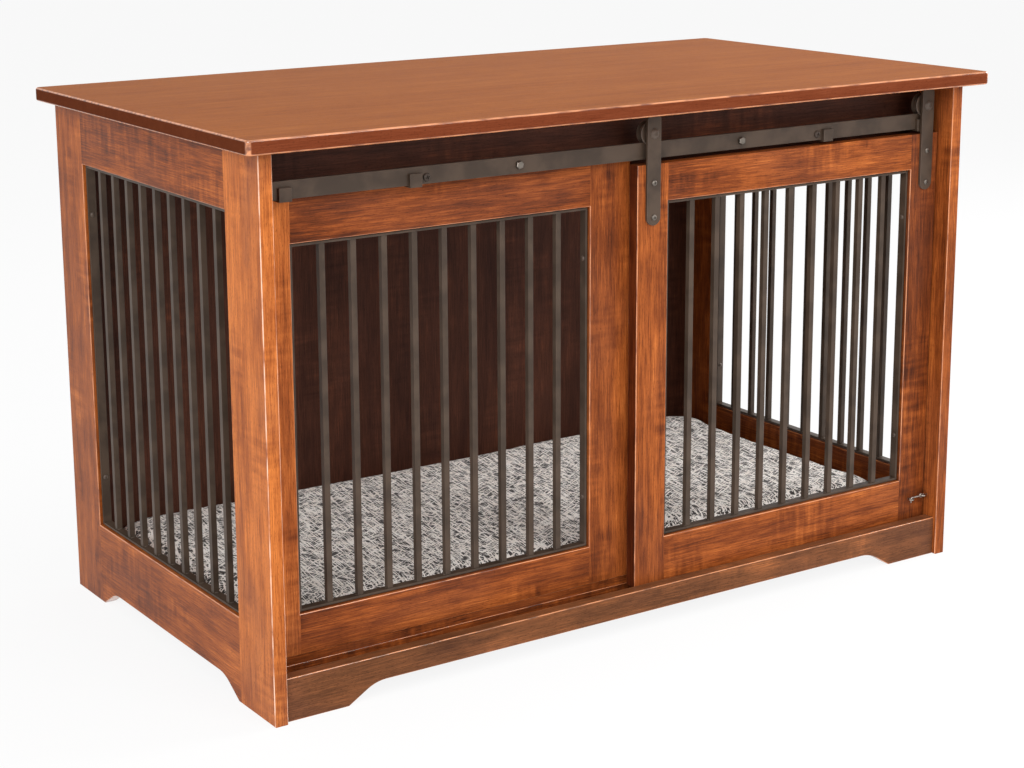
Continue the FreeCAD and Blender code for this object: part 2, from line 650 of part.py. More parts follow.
def hanger_screws():
    return group([screw(HANGER_SCREW_RADIUS, HANGER_THICKNESS + HANGER_SCREW_BITE,
                        HANGER_SCREW_HEAD_RADIUS, HANGER_SCREW_HEAD, place, Y_AXIS)
                  for side in HANGER_X for place in hanger_screw_places(side)])


def axle_bolt(side):
    """Domed bolt that carries a wheel behind the strap."""
    start = V(HANGER_X[side], HANGER_FACE, AXLE_HEIGHT)
    length = NUT_FRONT + NUT_HEIGHT + AXLE_PAST_NUT - HANGER_FACE
    head = domed_head(AXLE_HEAD_RADIUS, AXLE_HEAD, start, Y_AXIS * -1)
    return joined([head, cylinder(AXLE_RADIUS, length, start, Y_AXIS)])


def axle_ring(x, y0, y1, outer):
    """A ring round the axle."""
    start = V(x, y0, AXLE_HEIGHT)
    return cylinder(outer, y1 - y0, start, Y_AXIS).cut(cylinder(AXLE_RADIUS, y1 - y0, start, Y_AXIS))


def axle_washers():
    return group([axle_ring(x, DOOR_FACE, WASHER_BACK, WASHER_RADIUS) for x in HANGER_X.values()])


def axle_nuts():
    nuts = []
    for x in HANGER_X.values():
        start = V(x, NUT_FRONT, AXLE_HEIGHT)
        nuts.append(hexagon(NUT_FLATS, NUT_HEIGHT, start, Y_AXIS).cut(
            cylinder(AXLE_RADIUS, NUT_HEIGHT, start, Y_AXIS)))
    return group(nuts)


def wheel(side):
    """Grooved wheel, turned from the profile of one half."""
    profile = [
        (BUSH_RADIUS, WHEEL_FRONT), (FLANGE_RADIUS - GROOVE_FLARE, WHEEL_FRONT),
        (FLANGE_RADIUS, WHEEL_FRONT + GROOVE_FLARE), (FLANGE_RADIUS, WHEEL_FRONT + 2 * GROOVE_FLARE),
        (TREAD_RADIUS, WHEEL_FRONT + FLANGE_THICKNESS), (TREAD_RADIUS, WHEEL_BACK - FLANGE_THICKNESS),
        (FLANGE_RADIUS, WHEEL_BACK - 2 * GROOVE_FLARE), (FLANGE_RADIUS, WHEEL_BACK - GROOVE_FLARE),
        (FLANGE_RADIUS - GROOVE_FLARE, WHEEL_BACK), (BUSH_RADIUS, WHEEL_BACK),
    ]
    points = [V(r, y, 0) for r, y in profile]
    turned = Part.Face(Part.makePolygon(points + points[:1])).revolve(V(0, 0, 0), Y_AXIS, 360)
    return placed(turned, V(HANGER_X[side], 0, AXLE_HEIGHT))


def bush(side):
    """Bearing bush pressed into the wheel, running on the axle bolt."""
    start = V(HANGER_X[side], WHEEL_FRONT - BUSH_PROUD, AXLE_HEIGHT)
    length = WHEEL_WIDTH + 2 * BUSH_PROUD
    bore = cylinder(AXLE_RADIUS + AXLE_CLEARANCE, length, start, Y_AXIS)
    return cylinder(BUSH_RADIUS, length, start, Y_AXIS).cut(bore)


# ---------------------------------------------------------------- latch
def screw_eye(ring_centre, into, wood_distance):
    """Wire ring lying level, with a stem that runs into the wood."""
    ring = Part.makeTorus(EYE_RING, WIRE, ring_centre, Z_AXIS)
    start = ring_centre + into * EYE_RING
    return joined([ring, cylinder(WIRE, wood_distance - EYE_RING + EYE_BITE, start, into)])


def side_eye():
    return screw_eye(V(HOOK_PIVOT_X + EYE_RING, LATCH_Y, LATCH_HEIGHT), X_AXIS, EYE_STEM + EYE_RING)


def door_eye():
    return screw_eye(V(HOOK_TIP_X, LATCH_Y, DOOR_EYE_HEIGHT), Y_AXIS, DOOR_FACE - LATCH_Y)


def eye_hole(ring_centre, into, wood_distance):
    """Hole in the wood for an eye's stem."""
    return cylinder(WIRE, EYE_BITE, ring_centre + into * wood_distance, into)


def latch_hook():
    """Wire hook: a ring round the side eye, a shank, a bend and a tip that drops into the door's eye."""
    pivot = V(HOOK_PIVOT_X, LATCH_Y, LATCH_HEIGHT)
    ring = Part.makeTorus(HOOK_RING, WIRE, pivot, Y_AXIS)
    shank_length = HOOK_REACH - HOOK_RING - HOOK_BEND
    shank = cylinder(WIRE, shank_length, pivot - X_AXIS * HOOK_RING, X_AXIS * -1)
    bend_centre = V(HOOK_TIP_X + HOOK_BEND, LATCH_Y, LATCH_HEIGHT - HOOK_BEND)
    section = Part.Face(Part.Wire(Part.makeCircle(WIRE, bend_centre + Z_AXIS * HOOK_BEND, X_AXIS)))
    bend = section.revolve(bend_centre, Y_AXIS, -90)
    tip_length = HOOK_TIP - HOOK_BEND
    tip = cylinder(WIRE, tip_length, V(HOOK_TIP_X, LATCH_Y, LATCH_HEIGHT - HOOK_BEND), Z_AXIS * -1)
    tip_end = V(HOOK_TIP_X, LATCH_Y, LATCH_HEIGHT - HOOK_TIP)
    end = Part.makeSphere(WIRE, tip_end, Z_AXIS, -90, 0)
    return joined([end, tip, bend, shank, ring])


# ---------------------------------------------------------------- pad
# Height above the floor panel and how far the outline is drawn in there, from the sole to the crown.
PAD_PROFILE = ((0.0, 9.0), (5.0, 2.5), (13.0, 0.0), (21.0, 2.0), (27.0, 9.0), (31.0, 26.0),
               (34.5, 70.0), (36.5, 140.0))


def pad_outline(inset, height):
    """Rounded rectangle whose four sides are bowed inwards, as eight arcs."""
    x0, x1 = -SIDE_INNER + PAD_SIDE_GAP + inset, SIDE_INNER - PAD_SIDE_GAP - inset
    y0, y1 = FIXED_FACE + BOARD + PAD_FRONT_GAP + inset, BACK_FACE - PAD_BACK_GAP - inset
    r = PAD_CORNER
    mx, my = (x0 + x1) / 2, (y0 + y1) / 2
    c = r * (1 - math.cos(math.radians(45)))
    long_draw, short_draw = PAD_DRAW_LONG, PAD_DRAW_SHORT
    arcs = [
        ((x0 + r, y0), (mx, y0 + long_draw), (x1 - r, y0)),
        ((x1 - r, y0), (x1 - c, y0 + c), (x1, y0 + r)),
        ((x1, y0 + r), (x1 - short_draw, my), (x1, y1 - r)),
        ((x1, y1 - r), (x1 - c, y1 - c), (x1 - r, y1)),
        ((x1 - r, y1), (mx, y1 - long_draw), (x0 + r, y1)),
        ((x0 + r, y1), (x0 + c, y1 - c), (x0, y1 - r)),
        ((x0, y1 - r), (x0 + short_draw, my), (x0, y0 + r)),
        ((x0, y0 + r), (x0 + c, y0 + c), (x0 + r, y0)),
    ]
    return Part.Wire([Part.Arc(*[V(x, y, height) for x, y in arc]).toShape() for arc in arcs])


def pad():
    """Crowned cushion lying loose on the floor panel."""
    base = FLOOR_TOP + PAD_FLOOR_GAP
    sections = [pad_outline(inset, base + rise) for rise, inset in PAD_PROFILE]
    return Part.makeLoft(sections, True, True)


# ---------------------------------------------------------------- assembly
def framed_panel_nodes(prefix, panel, position, turn, holes=()):
    """Placed boards and grille of one framed panel."""
    nodes = {}
    for name, shape in panel.members().items():
        nodes[prefix + "_" + name] = cut_all(placed(shape, position, turn), holes)
    nodes[prefix + "_grille"] = placed(panel.grille(), position, turn)
    return nodes


def build():
    nodes = {"top_board": cut_all(top_board(), top_screw_holes())}

    (left, left_place, left_turn), (right, right_place, right_turn) = side_panels()
    side_eye_hole = eye_hole(V(HOOK_PIVOT_X + EYE_RING, LATCH_Y, LATCH_HEIGHT), X_AXIS,
                             EYE_STEM + EYE_RING)
    for prefix, panel, place, turn, holes in (("left", left, left_place, left_turn, []),
                                              ("right", right, right_place, right_turn, [side_eye_hole])):
        members = framed_panel_nodes(prefix, panel, place, turn, holes)
        front, back = ("right", "left") if prefix == "left" else ("left", "right")
        nodes[prefix + "_front_stile"] = members[prefix + "_" + front + "_stile"]
        nodes[prefix + "_back_stile"] = members[prefix + "_" + back + "_stile"]
        for name in ("_top_rail", "_bottom_rail", "_grille"):
            nodes[prefix + name] = members[prefix + name]

    fixed = FramedPanel(FIXED_WIDTH, FLOOR_TOP, FIXED_TOP, FIXED_LEFT_STILE, FIXED_RIGHT_STILE,
                        FIXED_BOTTOM_RAIL, FIXED_TOP_RAIL, FRONT_BAR_END)
    fixed_place = V(FIXED_LEFT, FIXED_FACE, 0)
    nodes.update(framed_panel_nodes("fixed", fixed, fixed_place, 0))

    header_holes = rail_bolt_holes() + rail_screw_holes() + clip_screw_holes()
    nodes["header_board"] = cut_all(header_board(), header_holes)
    nodes["front_skirt"] = front_skirt()
    nodes["channel_board"] = channel_board()
    nodes["front_sill"] = front_sill()
    nodes["floor_panel"] = floor_panel()
    for side, shape in floor_cleats().items():
        nodes[side + "_floor_cleat"] = shape
    nodes.update(back_pieces())
    for side, shape in top_cleats().items():
        nodes[side + "_top_cleat"] = shape
    nodes["top_screws"] = top_screws()
    nodes["frame_dowels"] = group([placed(left.dowels(), left_place, left_turn),
                                   placed(right.dowels(), right_place, right_turn),
                                   placed(fixed.dowels(), fixed_place)])
    nodes["grille_screws"] = group([placed(left.screws(), left_place, left_turn),
                                    placed(right.screws(), right_place, right_turn),
                                    placed(fixed.screws(), fixed_place)])
    nodes["pad"] = pad()

    nodes["track_rail"] = track_rail()
    nodes["rail_standoffs"] = rail_standoffs()
    nodes["rail_bolts"] = rail_bolts()
    nodes["rail_screws"] = rail_screws()
    nodes["rail_clips"] = rail_clips()
    nodes["clip_screws"] = clip_screws()
    nodes["side_eye"] = side_eye()

    door = FramedPanel(DOOR_WIDTH, DOOR_BOTTOM, DOOR_TOP, DOOR_STILE, DOOR_STILE, DOOR_BOTTOM_RAIL,
                       DOOR_TOP_RAIL, FRONT_BAR_END)
    door_place = V(DOOR_LEFT, DOOR_FACE, 0)
    door_holes = hanger_screw_holes("left") + hanger_screw_holes("right")
    door_holes.append(eye_hole(V(HOOK_TIP_X, LATCH_Y, DOOR_EYE_HEIGHT), Y_AXIS, DOOR_FACE - LATCH_Y))
    nodes.update(framed_panel_nodes("door", door, door_place, 0, door_holes))
    nodes["door_dowels"] = placed(door.dowels(), door_place)
    nodes["door_grille_screws"] = placed(door.screws(), door_place)
    for side in HANGER_X:
        nodes[side + "_hanger"] = hanger(side)
        nodes[side + "_axle_bolt"] = axle_bolt(side)
        nodes[side + "_wheel"] = wheel(side)
        nodes[side + "_bush"] = bush(side)
    nodes["hanger_screws"] = hanger_screws()
    nodes["axle_washers"] = axle_washers()
    nodes["axle_nuts"] = axle_nuts()
    nodes["door_eye"] = door_eye()
    nodes["latch_hook"] = latch_hook()
    return nodes


def outside_table(shape):
    """True if a piece reaches out of the space that the table fills."""
    b, x, y = shape.optimalBoundingBox(False, False), TOP_LENGTH / 2, TOP_DEPTH / 2
    return (max(-b.XMin, b.XMax) > x + TOLERANCE or max(-b.YMin, b.YMax) > y + TOLERANCE
            or b.ZMin < -TOLERANCE or b.ZMax > TABLE_HEIGHT + TOLERANCE)


os.makedirs("parts", exist_ok=True)
for node, shape in build().items():
    shape.exportStep("parts/" + node + ".step")
    faults = ["NOT VALID"] * (not shape.isValid()) + ["OUTSIDE THE TABLE"] * outside_table(shape)
    box_size = shape.optimalBoundingBox(False, False)
    print(node, len(shape.Solids), [round(v, 1) for v in (box_size.XLength, box_size.YLength,
                                                          box_size.ZLength)], *faults)
print("door travel", round(DOOR_TRAVEL, 3), "axles", [round(x, 3) for x in HANGER_X.values()],
      round(RAIL_MIDDLE, 3), round(AXLE_HEIGHT, 3), "tread radius", TREAD_RADIUS)
print("hook pivot", HOOK_PIVOT_X, LATCH_Y, LATCH_HEIGHT)
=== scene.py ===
# %% [markdown]
# # A dog crate end table in stained maple
# The table is a wooden crate: boards of stained maple hold four barred grilles of flat steel, and a
# barred door hangs from two grooved wheels on a rail.  The construction comes packed, with every
# piece at its real size.  This lesson dresses it: it gives each board its own grain, rebuilds the
# grilles with rounded bars and weld beads, fills the cushion and cuts the screw heads.

import math

import bmesh
import bpy
from mathutils import Matrix, Vector, noise


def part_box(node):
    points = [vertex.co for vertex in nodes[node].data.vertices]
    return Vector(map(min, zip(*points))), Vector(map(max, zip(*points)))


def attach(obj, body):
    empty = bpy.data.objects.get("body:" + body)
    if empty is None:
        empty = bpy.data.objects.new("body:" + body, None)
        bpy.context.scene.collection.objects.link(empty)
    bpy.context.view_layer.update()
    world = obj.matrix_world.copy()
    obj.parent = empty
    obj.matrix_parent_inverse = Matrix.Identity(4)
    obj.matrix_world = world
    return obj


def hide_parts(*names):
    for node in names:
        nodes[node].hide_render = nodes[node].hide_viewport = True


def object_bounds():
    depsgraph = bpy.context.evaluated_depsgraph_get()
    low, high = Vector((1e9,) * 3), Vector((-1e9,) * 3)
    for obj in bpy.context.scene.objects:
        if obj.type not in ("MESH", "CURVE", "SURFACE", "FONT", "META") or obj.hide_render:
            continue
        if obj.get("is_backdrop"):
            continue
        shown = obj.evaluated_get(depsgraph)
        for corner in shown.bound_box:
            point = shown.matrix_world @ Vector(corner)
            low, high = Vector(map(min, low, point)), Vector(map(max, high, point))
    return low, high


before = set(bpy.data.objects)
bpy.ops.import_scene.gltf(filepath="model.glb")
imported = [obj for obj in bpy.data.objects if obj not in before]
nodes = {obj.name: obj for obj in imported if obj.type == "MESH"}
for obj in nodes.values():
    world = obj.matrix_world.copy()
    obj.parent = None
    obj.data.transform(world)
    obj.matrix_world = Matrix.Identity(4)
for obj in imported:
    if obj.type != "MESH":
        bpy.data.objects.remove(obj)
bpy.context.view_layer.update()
scene = bpy.context.scene
MM = 0.001

# %% [markdown]
# ## The camera
# A camera is a place and three turns.  It could be aimed at the table, but then nothing would say
# how far it rolls, so its rotation is built from three angles.  Azimuth and elevation say from where
# it looks, and roll tips the picture.  The lens is given in millimetres for a sensor 36 mm wide.  The
# small shift moves the picture without turning the camera, so upright boards keep their slight lean.

# %% Camera
CAMERA_PLACE = Vector((-1.6942, -2.4913, 1.0890))
CAMERA_AZIMUTH, CAMERA_ELEVATION, CAMERA_ROLL = (math.radians(a) for a in (-33.4702, 12.6182, -0.3675))
CAMERA_LENS = 73.47
CAMERA_SHIFT = (0.01584, -0.07836)


def camera_turn(azimuth, elevation, roll):
    """Rotation of a camera that looks back along its own Z axis."""
    back = Vector((math.sin(azimuth) * math.cos(elevation), -math.cos(azimuth) * math.cos(elevation),
                   math.sin(elevation)))
    right = (-back).cross(Vector((0, 0, 1))).normalized()
    up = right.cross(-back)
    across = right * math.cos(roll) + up * math.sin(roll)
    upward = up * math.cos(roll) - right * math.sin(roll)
    return Matrix((across, upward, back)).transposed()


camera = bpy.data.objects.new("camera", bpy.data.cameras.new("camera"))
scene.collection.objects.link(camera)
camera.matrix_world = Matrix.Translation(CAMERA_PLACE) @ camera_turn(
    CAMERA_AZIMUTH, CAMERA_ELEVATION, CAMERA_ROLL).to_4x4()
camera.data.lens, camera.data.sensor_width = CAMERA_LENS, 36.0
camera.data.shift_x, camera.data.shift_y = CAMERA_SHIFT
scene.camera = camera
print("camera at", tuple(round(v, 3) for v in CAMERA_PLACE))

# %% [markdown]
# ## Writing finishes as expressions
# A finish is a graph of nodes.  Drawn by hand it soon becomes hard to read, so here a socket is
# wrapped in a small class that understands +, -, * and /.  An expression such as `1 - mask` then
# adds its own Math node.  Every other node comes from the one method `node`, which sets the node's
# settings first and then its sockets.  The same class writes the Geometry Nodes further down.

# %% Sockets and graphs
def find(sockets, key):
    """A socket by its number, its identifier or its name."""
    if isinstance(key, int):
        return sockets[key]
    same = [s for s in sockets if s.identifier == key] or [s for s in sockets if s.name == key]
    return same[0]


class Socket:
    """An output of a node, usable in a Python expression."""

    def __init__(self, graph, output):
        self.graph, self.output = graph, output

    def math(self, operation, *others):
        return self.graph.node("ShaderNodeMath", {"operation": operation}, [self, *others])

    def __add__(self, other):
        return self.math("ADD", other)

    __radd__ = __add__

    def __sub__(self, other):
        return self.math("SUBTRACT", other)

    def __rsub__(self, other):
        return self.graph.node("ShaderNodeMath", {"operation": "SUBTRACT"}, [other, self])

    def __mul__(self, other):
        return self.math("MULTIPLY", other)

    __rmul__ = __mul__

    def __truediv__(self, other):
        return self.math("DIVIDE", other)

    def clamped(self):
        return self.graph.node("ShaderNodeClamp", {}, [self])

    def step(self, low, high):
        """0 below low, 1 above high and a smooth rise between."""
        return self.graph.node("ShaderNodeMapRange", {"interpolation_type": "SMOOTHSTEP"},
                               {"Value": self, "From Min": low, "From Max": high})

    def other(self, key):
        """Another output of the same node."""
        return Socket(self.graph, find(self.output.node.outputs, key))


class Graph:
    """A node tree that is filled from Python."""

    def __init__(self, tree):
        self.tree = tree

    def feed(self, socket, value):
        if isinstance(value, Socket):
            self.tree.links.new(value.output, socket)
        else:
            socket.default_value = value

    def node(self, kind, settings=None, sockets=(), out=0):
        made = self.tree.nodes.new(kind)
        for setting, value in (settings or {}).items():
            if setting == "stops":
                ramp = made.color_ramp.elements
                while len(ramp) < len(value):
                    ramp.new(0.5)
                for element, (place, colour) in zip(ramp, value):
                    element.position, element.color = place, colour
            else:
                setattr(made, setting, value)
        for key, value in (sockets.items() if isinstance(sockets, dict) else enumerate(sockets)):
            for item in (value if isinstance(value, list) else [value]):
                self.feed(find(made.inputs, key), item)
        return Socket(self, find(made.outputs, out))


class Finish(Graph):
    """A material whose nodes read the object's own coordinates, in metres."""

    def __init__(self, name, **shader):
        self.material = bpy.data.materials.new(name)
        self.material.use_nodes = True
        super().__init__(self.material.node_tree)
        self.shader = self.tree.nodes["Principled BSDF"]
        for socket, value in shader.items():
            self.shader.inputs[socket.replace("_", " ")].default_value = value

    def surface(self, **sockets):
        for socket, value in sockets.items():
            self.feed(self.shader.inputs[socket.replace("_", " ")], value)

    def place(self):
        """The x, y and z of the point, in metres."""
        point = self.node("ShaderNodeTexCoord", out="Object")
        split = self.node("ShaderNodeSeparateXYZ", {}, [point])
        return [split, split.other(1), split.other(2)]

    def normal(self):
        """How far the surface faces X, Y and Z, from 0 to 1."""
        facing = self.node("ShaderNodeTexCoord", out="Normal")
        size = self.node("ShaderNodeVectorMath", {"operation": "ABSOLUTE"}, [facing])
        split = self.node("ShaderNodeSeparateXYZ", {}, [size])
        return [split, split.other(1), split.other(2)]

    def noise(self, parts, detail=2.0, roughness=0.5):
        point = self.node("ShaderNodeCombineXYZ", {}, parts)
        return self.node("ShaderNodeTexNoise", {}, {"Vector": point, "Scale": 1.0, "Detail": detail,
                                                    "Roughness": roughness})

    def even_noise(self, scale, detail=2.0):
        """Noise with as many waves per metre along all three axes."""
        return self.noise([part * scale for part in self.place()], detail)

    def mix(self, factor, first, second, blend="MIX"):
        return self.node("ShaderNodeMix", {"data_type": "RGBA", "blend_type": blend},
                         {"Factor_Float": factor, "A_Color": first, "B_Color": second}, "Result_Color")

    def bump(self, height, depth, strength=1.0):
        return self.node("ShaderNodeBump", {}, {"Height": height, "Distance": depth, "Strength": strength})


def colour(red, green, blue):
    """A colour from its 0 to 255 screen values."""
    linear = [v / 255 / 12.92 if v <= 10 else ((v / 255 + 0.055) / 1.055) ** 2.4
              for v in (red, green, blue)]
    return (*linear, 1.0)


print("graph helpers ready")

# %% [markdown]
# ## Stained maple
# Maple has a quiet grain, but it takes a stain unevenly, and that is what the eye remembers: soft
# blotches, fine fibres along the board, faint curl across it, and short dark flecks.  The arrises
# are sanded, so the stain is thinner there and they shine; their paler colour is partly that wear
# and partly a painted highlight.  End grain drinks more stain and is darker.  A picture of wood
# could be laid on the boards, but it would be the same on every one and would smear over the edges.
# So each feature is a noise stretched along or across the board, and all are summed into one tone
# that picks the colour.  A seed moves the pattern, so that no two boards are alike.

# %% Stained maple
RED_STAIN = ((0.0, colour(72, 34, 18)), (0.34, colour(122, 60, 26)), (0.62, colour(162, 86, 38)),
             (1.0, colour(210, 122, 58)))
MAUVE_CAST = colour(112, 72, 60)
# Arris colour: partly sanded wear, where the stain is thin, and partly a painted highlight.
ARRIS_WEAR_AND_HIGHLIGHT = colour(228, 148, 96)
END_STAIN = colour(70, 34, 18)
FLECK_SHADE = colour(120, 104, 96)

FIGURE = {  # waves per metre along and across the grain, shift, detail, roughness
    "drift": (4.0, 9.0, 0.0, 2.0, 0.5), "streaks": (2.2, 75.0, 0.0, 3.0, 0.55),
    "fibre": (22.0, 620.0, 0.0, 3.0, 0.7), "clouds": (6.0, 14.0, 0.0, 3.0, 0.55),
    "patches": (22.0, 32.0, 7.0, 2.0, 0.5), "ripple": (95.0, 15.0, 0.0, 2.0, 0.5),
    "curl": (6.0, 12.0, 3.0, 2.0, 0.5), "dull": (4.0, 10.0, 11.0, 2.0, 0.5),
    "fleck": (210.0, 1500.0, 0.0, 1.0, 0.5), "rubbed": (30.0, 160.0, 0.0, 2.0, 0.5)}
MASK = {"curl": (0.47, 0.62), "dull": (0.44, 0.68), "fleck": (0.60, 0.70), "rubbed": (0.3, 0.6)}
STREAK_TONE, FIBRE_TONE, CLOUD_TONE, PATCH_TONE, RIPPLE_TONE = 0.7, 1.25, 0.72, 0.36, 0.8
STREAK_HEIGHT, FIBRE_HEIGHT, FLECK_HEIGHT = 0.3, 0.5, 0.4
DRIFT = 0.035                   # metres that a streak wanders
SEED_SHIFT, SEED_SPREAD = 0.37, 0.21
FLAT_FACE = (0.90, 0.995)       # how squarely a face looks along an axis
END_FACE = (0.80, 0.95)
SHADED_FACE = (0.6, 0.9)
FLECK_STRENGTH, END_STRENGTH = 0.5, 0.55
FIBRE_ROUGHNESS, END_ROUGHNESS = 0.16, 0.15
EDGE_COAT = 0.9
PORE_DEPTH = 0.12 * MM


def maple(name, grain, stain, seed, shade=0.0, blotch=1.0, curl=1.0, cast=0.15, gloss=0.36,
          arris=0.75, sheen=0.09, deep=None, worn=ARRIS_WEAR_AND_HIGHLIGHT):
    """Stained maple for a board whose grain runs along X, Y or Z (0, 1 or 2).

    deep gives the axes whose faces get painted shade, and the colour that multiplies theirs."""
    finish = Finish(name, IOR=1.5, Specular_IOR_Level=sheen, Coat_Roughness=0.12, Coat_IOR=1.9)
    place, facing = finish.place(), finish.normal()
    along, across, through = (place[(grain + i) % 3] + seed * (SEED_SHIFT + SEED_SPREAD * i)
                              for i in range(3))

    def figure(kind, wander=None):
        """One noise, stretched along the board."""
        lengthwise, crosswise, shift, detail, roughness = FIGURE[kind]
        sides = [side + wander if wander else side for side in (across, through)]
        first = along * lengthwise + shift if shift else along * lengthwise
        return finish.noise([first] + [side * crosswise for side in sides], detail, roughness)

    def mask(kind):
        return figure(kind).step(*MASK[kind])

    streaks, fibre = figure("streaks", figure("drift") * DRIFT), figure("fibre")
    tone = (0.5 + shade + (streaks - 0.5) * STREAK_TONE + (fibre - 0.5) * FIBRE_TONE
            + (figure("clouds") - 0.5) * (CLOUD_TONE * blotch)
            + (figure("patches") - 0.5) * (PATCH_TONE * blotch)
            + (figure("ripple") - 0.5) * mask("curl") * (RIPPLE_TONE * curl))
    wood = finish.node("ShaderNodeValToRGB", {"stops": stain}, [tone.clamped()])
    wood = finish.mix(mask("dull") * cast, wood, MAUVE_CAST)
    fleck = mask("fleck")
    wood = finish.mix(fleck * FLECK_STRENGTH, wood, FLECK_SHADE, "MULTIPLY")
    # Painted shade: faces that look along the given axes are darkened by a colour.
    if deep:
        faces, painted_shade = deep
        for axis in faces:
            wood = finish.mix(facing[axis].step(*SHADED_FACE), wood, painted_shade, "MULTIPLY")
    rounded = 1 - facing[0].math("MAXIMUM", facing[1]).math("MAXIMUM", facing[2]).step(*FLAT_FACE)
    # Paler arrises: partly sanded wear and partly a painted highlight along the rounded edges.
    wood = finish.mix(rounded * mask("rubbed") * arris, wood, worn)
    end_grain = facing[grain].step(*END_FACE)
    wood = finish.mix(end_grain * END_STRENGTH, wood, END_STAIN)
    height = fibre * FIBRE_HEIGHT + streaks * STREAK_HEIGHT - fleck * FLECK_HEIGHT
    finish.surface(Base_Color=wood, Coat_Weight=rounded * EDGE_COAT,
                   Roughness=gloss + (fibre - 0.5) * FIBRE_ROUGHNESS + end_grain * END_ROUGHNESS,
                   Normal=finish.bump(height, PORE_DEPTH, 0.5))
    return finish.material


print("maple ready, noises:", len(FIGURE))

# %% [markdown]
# ## Boards
# The grain of a real frame runs along each member: up the stiles and along the rails.  One material
# for all of them would be shorter, but then grain would run across half of the boards.  So a table
# gives each board its grain and its shade, and the seed is simply the board's place in that table.
# The top took a quieter stain and the skirt a browner one.  The boards inside get a darker stain that
# paints in the shade lying inside the crate.

# %% Finish the boards
UP, ACROSS, BACK = 2, 0, 1
# How much lighter is partly each board's own tone and partly painted light and shade: the left front stile
# is lighter where the key lamp falls, and the front sill darker in the shade of the channel.
OUTER_BOARDS = (  # name, grain, how much lighter
    ("left_front_stile", UP, 0.28), ("left_back_stile", UP, 0.04), ("left_top_rail", BACK, -0.08),
    ("left_bottom_rail", BACK, 0.02), ("right_front_stile", UP, -0.02), ("right_back_stile", UP, -0.1),
    ("right_top_rail", BACK, -0.1), ("right_bottom_rail", BACK, -0.12), ("fixed_left_stile", UP, 0.18),
    ("fixed_right_stile", UP, -0.05), ("fixed_top_rail", ACROSS, -0.18),
    ("fixed_bottom_rail", ACROSS, -0.11), ("door_left_stile", UP, -0.04), ("door_right_stile", UP, -0.2),
    ("door_top_rail", ACROSS, -0.06), ("door_bottom_rail", ACROSS, -0.05), ("front_sill", ACROSS, -0.25),
    ("floor_panel", ACROSS, -0.2))
DARK_BOARDS = (
    ("header_board", ACROSS), ("channel_board", ACROSS), ("back_panel", UP), ("back_top_cleat", ACROSS),
    ("back_floor_cleat", ACROSS), ("left_top_cleat", BACK), ("right_top_cleat", BACK),
    ("left_floor_cleat", BACK), ("right_floor_cleat", BACK))
SPECIAL_FINISH = {
    # The left front stile's arris colour is near white: a painted highlight along its front corner.
    "left_front_stile": {"cast": 0.35, "worn": colour(250, 206, 178)},
    # The door's left stile gets painted shade on the faces that look along X, where it stands in the gap by
    # the fixed panel.
    "door_left_stile": {"deep": ((0,), (0.30, 0.24, 0.30, 1.0))}}
TOP_STAIN = ((0.0, colour(116, 58, 24)), (0.35, colour(144, 80, 36)), (0.65, colour(158, 92, 43)),
             (1.0, colour(178, 110, 56)))
# Painted shade: the top's edge faces are darker than its top.
TOP_EDGE_SHADE = ((0, 1), (0.52, 0.42, 0.75, 1.0))
SKIRT_STAIN = ((0.0, colour(66, 38, 24)), (0.36, colour(98, 60, 36)), (0.66, colour(124, 76, 46)),
               (1.0, colour(172, 104, 60)))
# A darker copy of the stain, which paints the shade inside the crate onto the boards there.
SHADED_INNER_STAIN = ((0.0, colour(42, 23, 18)), (0.35, colour(62, 36, 27)), (0.65, colour(78, 46, 34)),
               (1.0, colour(110, 62, 42)))


def dress(node, material):
    """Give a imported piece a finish."""
    slots = nodes[node].data.materials
    if not slots:
        slots.append(material)
    for slot in nodes[node].material_slots:
        slot.material = material


for seed, (board, grain, shade) in enumerate(OUTER_BOARDS, 1):
    dress(board, maple(board + "_maple", grain, RED_STAIN, seed, shade, **SPECIAL_FINISH.get(board, {})))
# Boards inside and behind: painted shade through the darker stain.
for seed, (board, grain) in enumerate(DARK_BOARDS, 31):
    dress(board, maple(board + "_maple", grain, SHADED_INNER_STAIN, seed, cast=0.1, gloss=0.45))
dress("top_board", maple("top_maple", ACROSS, TOP_STAIN, 51, blotch=0.4, curl=0.2, cast=0.0, gloss=0.32,
                         sheen=0.002, deep=TOP_EDGE_SHADE))
dress("front_skirt", maple("skirt_maple", ACROSS, SKIRT_STAIN, 52, blotch=1.2, curl=0.6, cast=0.2))
print("boards finished:", len(OUTER_BOARDS) + len(DARK_BOARDS) + 2)

# %% [markdown]
# ## Steel, bronze and bare wood
# The rail, straps and grilles are powder coated.  Powder melts into a satin skin with a faint
# orange peel, and it is thinnest on edges, which are paler: partly that thin coat and partly a
# painted highlight.  The screws are zinc plated: metal, with a soft brushed grain.  Wheel bushes are
# bearing bronze, and the dowels inside the joints are bare wood.  One flat colour each would do from
# far away.  Close up only a little unevenness makes them look like metal, so the two finishes below
# add it to the colour, the roughness and the bump.

# %% Metal finishes
PEEL_SCALE, COAT_CLOUD_SCALE = 1400.0, 28.0         # waves per metre
BRUSH_SCALES = (900.0, 60.0, 4200.0)
DULL_SCALE = 160.0
THIN_COAT_AND_HIGHLIGHT = colour(112, 100, 92)
PEEL_DEPTH, BRUSH_DEPTH = 0.05 * MM, 0.03 * MM


def tinted(shade, share):
    """A colour made darker or lighter."""
    return tuple(v * share for v in shade[:3]) + (1.0,)


